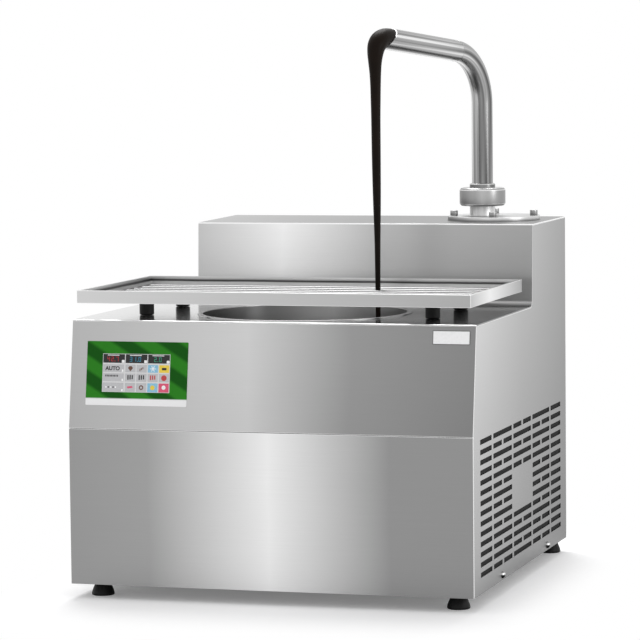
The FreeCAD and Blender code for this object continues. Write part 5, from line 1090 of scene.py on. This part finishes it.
class TEMPERING_OT_touch_panel(bpy.types.Operator):
    """Printed film with its screen of displays and keys, and the blank badge"""

    bl_idname = "tempering.touch_panel"
    bl_label = "Touch panel and badge"

    def execute(self, context):
        left, right = OVERLAY_LOW.x, OVERLAY_HIGH.x
        thick = 0.8
        low = 32.0
        high = 118.0
        bm = bmesh.new()
        coordinates = bm.loops.layers.uv.new("film")
        plate(bm, rectangle(left, low, right, high, 1.2), 0.02, thick - 0.15, 0)
        for face in bm.faces:
            for loop in face.loops:
                spot = loop.vert.co / MM
                up = (spot.z - SEAM) / math.cos(LEAN)
                loop[coordinates].uv = ((spot.x - left) / (right - left), (up - low) / (high - low))
        mesh = bpy.data.meshes.new("film")
        bm.to_mesh(mesh)
        bm.free()
        piece("touch_film", mesh, printed_film("printed_film"), "cabinet", ("touch_overlay",))
        self.screen(left + 22.8, 50.0, left + 118.4, 101.5, thick - 0.15)
        self.badge()
        return {"FINISHED"}

    def screen(self, left, low, right, high, level):
        shades = {
            "bezel": speckled("screen_glass", "#D8D8D8", "#DEDEDE", 0.12, 500.0, 0.00002, IOR=1.5),
            "key": speckled("key_grey", "#BDBDBF", "#C4C4C6", 0.25, 500.0, 0.00002),
            "dark": speckled("display_black", "#050506", "#0A0A0B", 0.15, 500.0, 0.00002),
            "ink": speckled("key_ink", "#141414", "#1E1E1E", 0.4, 500.0, 0.00002),
            "brown": speckled("key_brown", "#5A3A2C", "#6A4636", 0.4, 500.0, 0.00002),
            "blue": speckled("key_blue", "#7FB9D6", "#93C7E0", 0.3, 500.0, 0.00002),
            "yellow": speckled("key_yellow", "#E8C832", "#F0D452", 0.3, 500.0, 0.00002),
            "red": speckled("key_red", "#B83434", "#C44444", 0.3, 500.0, 0.00002),
            "rose": speckled("key_rose", "#D8486C", "#E05C7C", 0.3, 500.0, 0.00002),
            "white": speckled("key_white", "#F4F4F4", "#FAFAFA", 0.3, 500.0, 0.00002),
            "lit_red": lamp_material("lit_red", "#A01820", 0.4),
            "lit_cyan": lamp_material("lit_cyan", "#2A7C94", 0.4),
            "lit_green": lamp_material("lit_green", "#2C8468", 0.4),
        }
        order = list(shades)

        def use(name):
            return order.index(name)

        bm = bmesh.new()
        top = level + 0.03
        plate(bm, rectangle(left, low, right, high), level - 0.2, top, use("bezel"))
        wide = right - left
        tall = high - low
        gap = 1.2
        rows = [0.0, 0.27, 0.50, 0.745]
        heights = [0.24, 0.21, 0.222, 0.245]
        columns = [0.0, 0.333, 0.333 * 2]

        def cell(x, y, width, height):
            """Corners of a cell from its upper left corner as shares of the screen."""
            x0 = left + x * wide + gap / 2
            y1 = high - y * tall - gap / 2
            return x0, y1 - height * tall + gap / 2, x0 + width * wide - gap, y1

        key_level = (top, top + 0.05)
        ink_level = (top + 0.05, top + 0.08)
        for x, figures, tone in zip(columns, ("427", "310", "20"), ("lit_red", "lit_cyan", "lit_green")):
            x0, y0, x1, y1 = cell(x, rows[0], 0.333, heights[0])
            plate(bm, rectangle(x0, y0, x1, y1, 0.3), *key_level, use("dark"))
            size = 3.6
            start = (x0 + x1) / 2 - (len(figures) * 5.4) / 2 - 1.5
            for index, figure in enumerate(figures):
                shift = 1.6 if index == len(figures) - 1 else 0
                digit(bm, figure, start + index * 5.4 + shift, y0 + 2.0, size, 6.4, 0.9, ink_level, use(tone))
            dot = start + (len(figures) - 1) * 5.4 - 0.5
            plate(bm, rectangle(dot, y0 + 2.0, dot + 1.0, y0 + 3.0), *ink_level, use(tone))
            plate(bm, rectangle(x0 + 6, y1 - 1.9, x1 - 8, y1 - 1.0), *ink_level, use("white"))
            plate(bm, rectangle(x1 - 4.2, y0 + 0.3, x1 - 0.3, y0 + 4.0, 0.4), *ink_level, use("white"))
        small = [0.333, 0.50, 0.667, 0.833]
        ground = [
            ["key", "key", "blue", "yellow"],
            ["key", "key", "key", "key"],
            ["key", "key", "blue", "rose"],
        ]
        for row in range(3):
            y, height = rows[row + 1], heights[row + 1]
            x0, y0, x1, y1 = cell(0, y, 0.325, height)
            plate(bm, rectangle(x0, y0, x1, y1, 0.5), *key_level, use("key"))
            plate(bm, rectangle(x1 - 3.0, y0 + 0.5, x1 - 0.8, y0 + 3.6, 0.3), *ink_level, use("white"))
            for column in range(4):
                box = cell(small[column], y, 0.163, height)
                plate(bm, rectangle(*box, 0.5), *key_level, use(ground[row][column]))
                self.symbol(bm, row, column, box, ink_level, use)
        # Wide keys: a level bar and a heating wave beside the word.
        x0, y0, x1, y1 = cell(0, rows[2], 0.325, heights[2])
        for index in range(9):
            x = x0 + 3.5 + index * 2.1
            plate(bm, rectangle(x, y1 - 4.6, x + 1.3, y1 - 2.0), *ink_level, use("ink"))
        x0, y0, x1, y1 = cell(0, rows[3], 0.325, heights[3])
        for index in range(5):
            x = x0 + 5 + index * 3.4
            plate(bm, disc(x, (y0 + y1) / 2, 1.1, 12), *ink_level, use("ink" if index % 2 else "white"))
        mesh = bpy.data.meshes.new("screen")
        bm.to_mesh(mesh)
        bm.free()
        piece("touch_screen", mesh, [shades[name] for name in order], "cabinet")

        x0, y0, x1, y1 = cell(0, rows[1], 0.325, heights[1])
        self.word("AUTO", (x0 + 3.6, y0 + 2.6), 7.2, ink_level[1] + 0.01, shades["ink"])

    def symbol(self, bm, row, column, box, levels, use):
        """A small generic sign in the middle of a key."""
        x0, y0, x1, y1 = box
        x, y = (x0 + x1) / 2, (y0 + y1) / 2
        if (row, column) == (0, 0):
            plate(bm, [(x - 3.6, y + 0.6), (x, y - 3.8), (x + 3.6, y + 0.6), (x + 1.6, y + 3.2),
                       (x - 1.6, y + 3.2)], *levels, use("brown"))
        elif (row, column) == (0, 1):
            for index in range(3):
                plate(bm, rectangle(x - 3 + index * 2, y - 3.2 + index * 1.2, x - 1.8 + index * 2, y + index),
                      *levels, use("brown"))
        elif (row, column) == (0, 2):
            for index in range(3):
                angle = math.pi * index / 3
                dx, dy = math.cos(angle) * 4, math.sin(angle) * 4
                nx, ny = -math.sin(angle) * 0.5, math.cos(angle) * 0.5
                plate(bm, [(x - dx - nx, y - dy - ny), (x + dx - nx, y + dy - ny), (x + dx + nx, y + dy + ny),
                           (x - dx + nx, y - dy + ny)], levels[0], levels[1] + 0.005 * index, use("white"))
        elif (row, column) == (0, 3):
            plate(bm, rectangle(x - 3.2, y - 1.6, x + 3.2, y + 1.6, 0.6), *levels, use("ink"))
        elif row == 1 and column in (0, 1, 2):
            tone = "red" if column == 2 else "ink"
            for index in range(3):
                plate(bm, rectangle(x - 4 + index * 3, y - 3 + index * 0.4, x - 2.2 + index * 3, y + 3.4),
                      *levels, use(tone))
        elif (row, column) == (1, 3):
            plate(bm, disc(x, y, 3.9), *levels, use("red"))
        elif (row, column) == (2, 0):
            plate(bm, [(x - 4.4, y + 1), (x - 3, y - 1.4), (x + 4.4, y - 0.4), (x + 2.8, y + 2)], *levels,
                  use("rose"))
        elif (row, column) == (2, 1):
            plate(bm, disc(x, y, 3.2), *levels, use("brown"))
            plate(bm, disc(x, y, 1.6), levels[1], levels[1] + 0.02, use("key"))
        elif (row, column) == (2, 2):
            plate(bm, disc(x, y, 3.2), *levels, use("yellow"))
        elif (row, column) == (2, 3):
            plate(bm, disc(x, y + 0.6, 2.8), *levels, use("white"))

    def word(self, text, place, height, level, material):
        """Plain lettering as a mesh on the leaning front."""
        curve = bpy.data.curves.new(text, "FONT")
        curve.body = text
        curve.size = height
        curve.offset = 0.28
        curve.extrude = 0.02
        holder = bpy.data.objects.new(text, curve)
        bpy.context.scene.collection.objects.link(holder)
        bpy.context.view_layer.update()
        mesh = bpy.data.meshes.new_from_object(holder.evaluated_get(bpy.context.evaluated_depsgraph_get()))
        bpy.data.objects.remove(holder)
        for vertex in mesh.vertices:
            vertex.co = on_lean(place[0] + vertex.co.x, place[1] + vertex.co.y, level + vertex.co.z)
        piece("key_word", mesh, material, "cabinet")

    def badge(self):
        left, right = BADGE_LOW.x, BADGE_HIGH.x
        white = speckled("badge_white", "#F6F6F6", "#FBFBFB", 0.22, 300.0, 0.00002)
        line = speckled("badge_line", "#4A4A4A", "#5A5A5A", 0.3, 300.0, 0.00002)
        bm = bmesh.new()
        plate(bm, rectangle(left, 120.5, right, 139.0, 0.8), 0.02, 0.45, 1)
        plate(bm, rectangle(left + 0.9, 121.4, right - 0.9, 138.1, 0.5), 0.1, 0.58, 0)
        mesh = bpy.data.meshes.new("badge")
        bm.to_mesh(mesh)
        bm.free()
        piece("blank_badge", mesh, [white, line], "cabinet", ("badge",))


# ---------------------------------------------------------------- screws

class TEMPERING_OT_screws(bpy.types.Operator):
    """Dome screws of the cabinet and cap screws of the flange"""

    bl_idname = "tempering.screws"
    bl_label = "Screws"

    def execute(self, context):
        low, high = corners("panel_screws")
        radius, rise = 4.8, 3.9
        height = high.z - radius
        sides = [(x, FRONT + setback, height)
                 for x in (low.x + rise, high.x - rise) for setback in (159, 434)]
        rear = [(x, REAR_HIGH.y, height) for x in (-HALF_WIDTH / 2, 0, HALF_WIDTH / 2)]
        chrome = self.dome_painted_reflection(height, radius)
        for name, places, size, stands_for in (
            ("side_dome_screws", sides, (rise, radius, radius), ("panel_screws",)),
            ("rear_dome_screws", rear, (radius, rise, radius), ()),
        ):
            mesh = grown(name, self.domes, {"Head size": Vector(size) * MM}, chrome, places)
            piece(name, mesh, chrome, "cabinet", stands_for)
        bright = plain_steel("bright_screws", "#9A9A9A", 0.3)
        # The cap screws' rounded edges take a pale painted highlight.
        edge = plain_steel("screw_edge_painted_highlight", "#E8E8E8", 0.3)
        softened("cap_screws", "flange_screws", [bright, edge], "cabinet", 0.0004, sharp=40)
        return {"FINISHED"}

    def domes(self, tree, given):
        """Dome heads set on the points."""
        ball = add(tree, "GeometryNodeMeshUVSphere", {"Segments": 32, "Rings": 16, "Radius": 1.0})
        return add(tree, "GeometryNodeInstanceOnPoints", {
            "Points": given["Points"], "Instance": ball.outputs["Mesh"], "Scale": given["Head size"],
        }).outputs["Instances"]

    def dome_painted_reflection(self, height, radius):
        """Polished screw with a painted reflection: its upper half painted as the light room, its lower half
        as the dark ground.
        """
        made, tree = blank("dome_painted_reflection")
        place = add(tree, "ShaderNodeTexCoord").outputs["Object"]
        smudge = add(tree, "ShaderNodeTexNoise", {"Vector": place, "Scale": 250.0})
        apart = add(tree, "ShaderNodeSeparateXYZ", {"Vector": place})
        wavy = add(tree, "ShaderNodeMath", {0: smudge.outputs["Fac"], 1: 0.0008, 2: apart.outputs["Z"]},
                   operation="MULTIPLY_ADD")
        share = add(tree, "ShaderNodeMapRange", {
            "Value": wavy.outputs[0], "From Min": (height - radius) * MM, "From Max": (height + radius) * MM,
        })
        tone = add(tree, "ShaderNodeValToRGB", {"Fac": share.outputs["Result"]}, [
            (0.0, "#2A2A2A"), (0.2, "#0E0E0E"), (0.5, "#161616"), (0.58, "#8A8A8A"), (0.68, "#FFFFFF"),
            (0.84, "#E0E0E0"), (0.92, "#707070"), (1.0, "#5A5A5A"),
        ])
        surface(tree, Base_Color=tone.outputs["Color"], Metallic=1.0, Roughness=0.16)
        return made


# ---------------------------------------------------------------- pieces inside the cabinet

class TEMPERING_OT_inside(bpy.types.Operator):
    """Materials of the nodes that keep their own shape"""

    bl_idname = "tempering.inside"
    bl_label = "Inner pieces"

    def execute(self, context):
        finishes = {
            "steel_sheet": plain_steel("mill_sheet", "#A8A8A8", 0.4),
            "polished_steel": plain_steel("turned_steel", "#B4B4B4", 0.2),
            "black_rubber": speckled("mount_rubber", "#101010", "#1B1B1B", 0.6, 500.0),
            "white_seal": speckled("seal_ptfe", "#E4E4E0", "#ECECEA", 0.4, 400.0),
            "heater_silicone": speckled("heater_silicone", "#B4502E", "#C05C38", 0.55, 300.0),
            "insulation": speckled("foil_foam", "#8A8A86", "#9A9A94", 0.8, 200.0, 0.0008),
            "filter_mat": speckled("filter_mat", "#2A2A2A", "#323232", 0.9, 600.0, Specular_IOR_Level=0.1),
            "dark_plastic": speckled("dark_plastic", "#17181A", "#202124", 0.42, 900.0),
            "rocker_plastic": speckled("rocker_plastic", "#8E1418", "#A01A1E", 0.3, 600.0),
            "circuit_board": speckled("circuit_board", "#0E4A26", "#16623A", 0.45, 120.0),
            "supply_case": plain_steel("supply_case", "#9C9C9C", 0.45),
            "cast_metal": plain_steel("cast_metal", "#8C8C8E", 0.55, 0.12, 220.0),
            "motor_paint": speckled("motor_paint", "#2A2C30", "#34363A", 0.5, 700.0),
            "compressor_shell": speckled("compressor_paint", "#111112", "#1A1A1B", 0.35, 200.0),
            "fin_aluminium": plain_steel("fin_aluminium", "#B8BABC", 0.35),
            "copper": plain_steel("drawn_copper", "#C08054", 0.3),
        }
        slots = {part["node"]: part["material_slot"] for part in frame["record"]["subparts"]}
        for name, made in frame["nodes"].items():
            if slots[name] in finishes:
                made.data.materials.clear()
                made.data.materials.append(finishes[slots[name]])

        low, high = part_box("cooling_coil")
        tube = 3 * MM
        mesh = grown("cooling_coil", self.coil, {
            "Turns": 12.0, "Coil radius": (high.x - low.x) / 2 - tube,
            "Coil height": high.z - low.z - 2 * tube,
            "Tube radius": tube, "Foot": Vector(((low.x + high.x) / 2, (low.y + high.y) / 2, low.z + tube)),
        }, finishes["copper"])
        piece("cooling_winding", mesh, finishes["copper"], "cabinet", ("cooling_coil",))
        return {"FINISHED"}

    def coil(self, tree, given):
        """Copper tube wound into a helix."""
        helix = add(tree, "GeometryNodeCurveSpiral", {
            "Resolution": 32, "Rotations": given["Turns"], "Start Radius": given["Coil radius"],
            "End Radius": given["Coil radius"], "Height": given["Coil height"],
        })
        placed = add(tree, "GeometryNodeTransform", {
            "Geometry": helix.outputs["Curve"], "Translation": given["Foot"],
        })
        round_tube = add(tree, "GeometryNodeCurvePrimitiveCircle", {
            "Resolution": 12, "Radius": given["Tube radius"],
        })
        return add(tree, "GeometryNodeCurveToMesh", {
            "Curve": placed.outputs["Geometry"], "Profile Curve": round_tube.outputs["Curve"],
            "Fill Caps": True,
        }).outputs["Mesh"]


class TEMPERING_PT_pieces(bpy.types.Panel):
    """Lists the machine's pieces and settings"""

    bl_idname = "TEMPERING_PT_pieces"
    bl_label = "Tempering machine"
    bl_space_type = "VIEW_3D"
    bl_region_type = "UI"
    bl_category = "Tempering"

    def draw(self, context):
        for group in GROUPS:
            held = settings(group)
            for name in held.__annotations__:
                self.layout.prop(held, name)
        for operator in OPERATORS:
            self.layout.operator(operator.bl_idname)


GROUPS = {"steel": SteelSettings, "spout": SpoutSettings, "frame": FrameSettings, "stage": StageSettings}
OPERATORS = (
    TEMPERING_OT_stage,
    TEMPERING_OT_inside,
    TEMPERING_OT_cabinet,
    TEMPERING_OT_bowl,
    TEMPERING_OT_spout,
    TEMPERING_OT_union,
    TEMPERING_OT_chocolate,
    TEMPERING_OT_moulding_frame,
    TEMPERING_OT_feet,
    TEMPERING_OT_touch_panel,
    TEMPERING_OT_screws,
)
CLASSES = tuple(GROUPS.values()) + OPERATORS + (TEMPERING_PT_pieces,)


def register():
    for made in CLASSES:
        bpy.utils.register_class(made)
    for name, group in GROUPS.items():
        setattr(bpy.types.Scene, "tempering_" + name, PointerProperty(type=group))


def unregister():
    for name in GROUPS:
        delattr(bpy.types.Scene, "tempering_" + name)
    for made in reversed(CLASSES):
        bpy.utils.unregister_class(made)


def main():
    register()
    for operator in OPERATORS:
        group, name = operator.bl_idname.split(".")
        getattr(getattr(bpy.ops, group), name)()


if __name__ == "__main__":
    main()
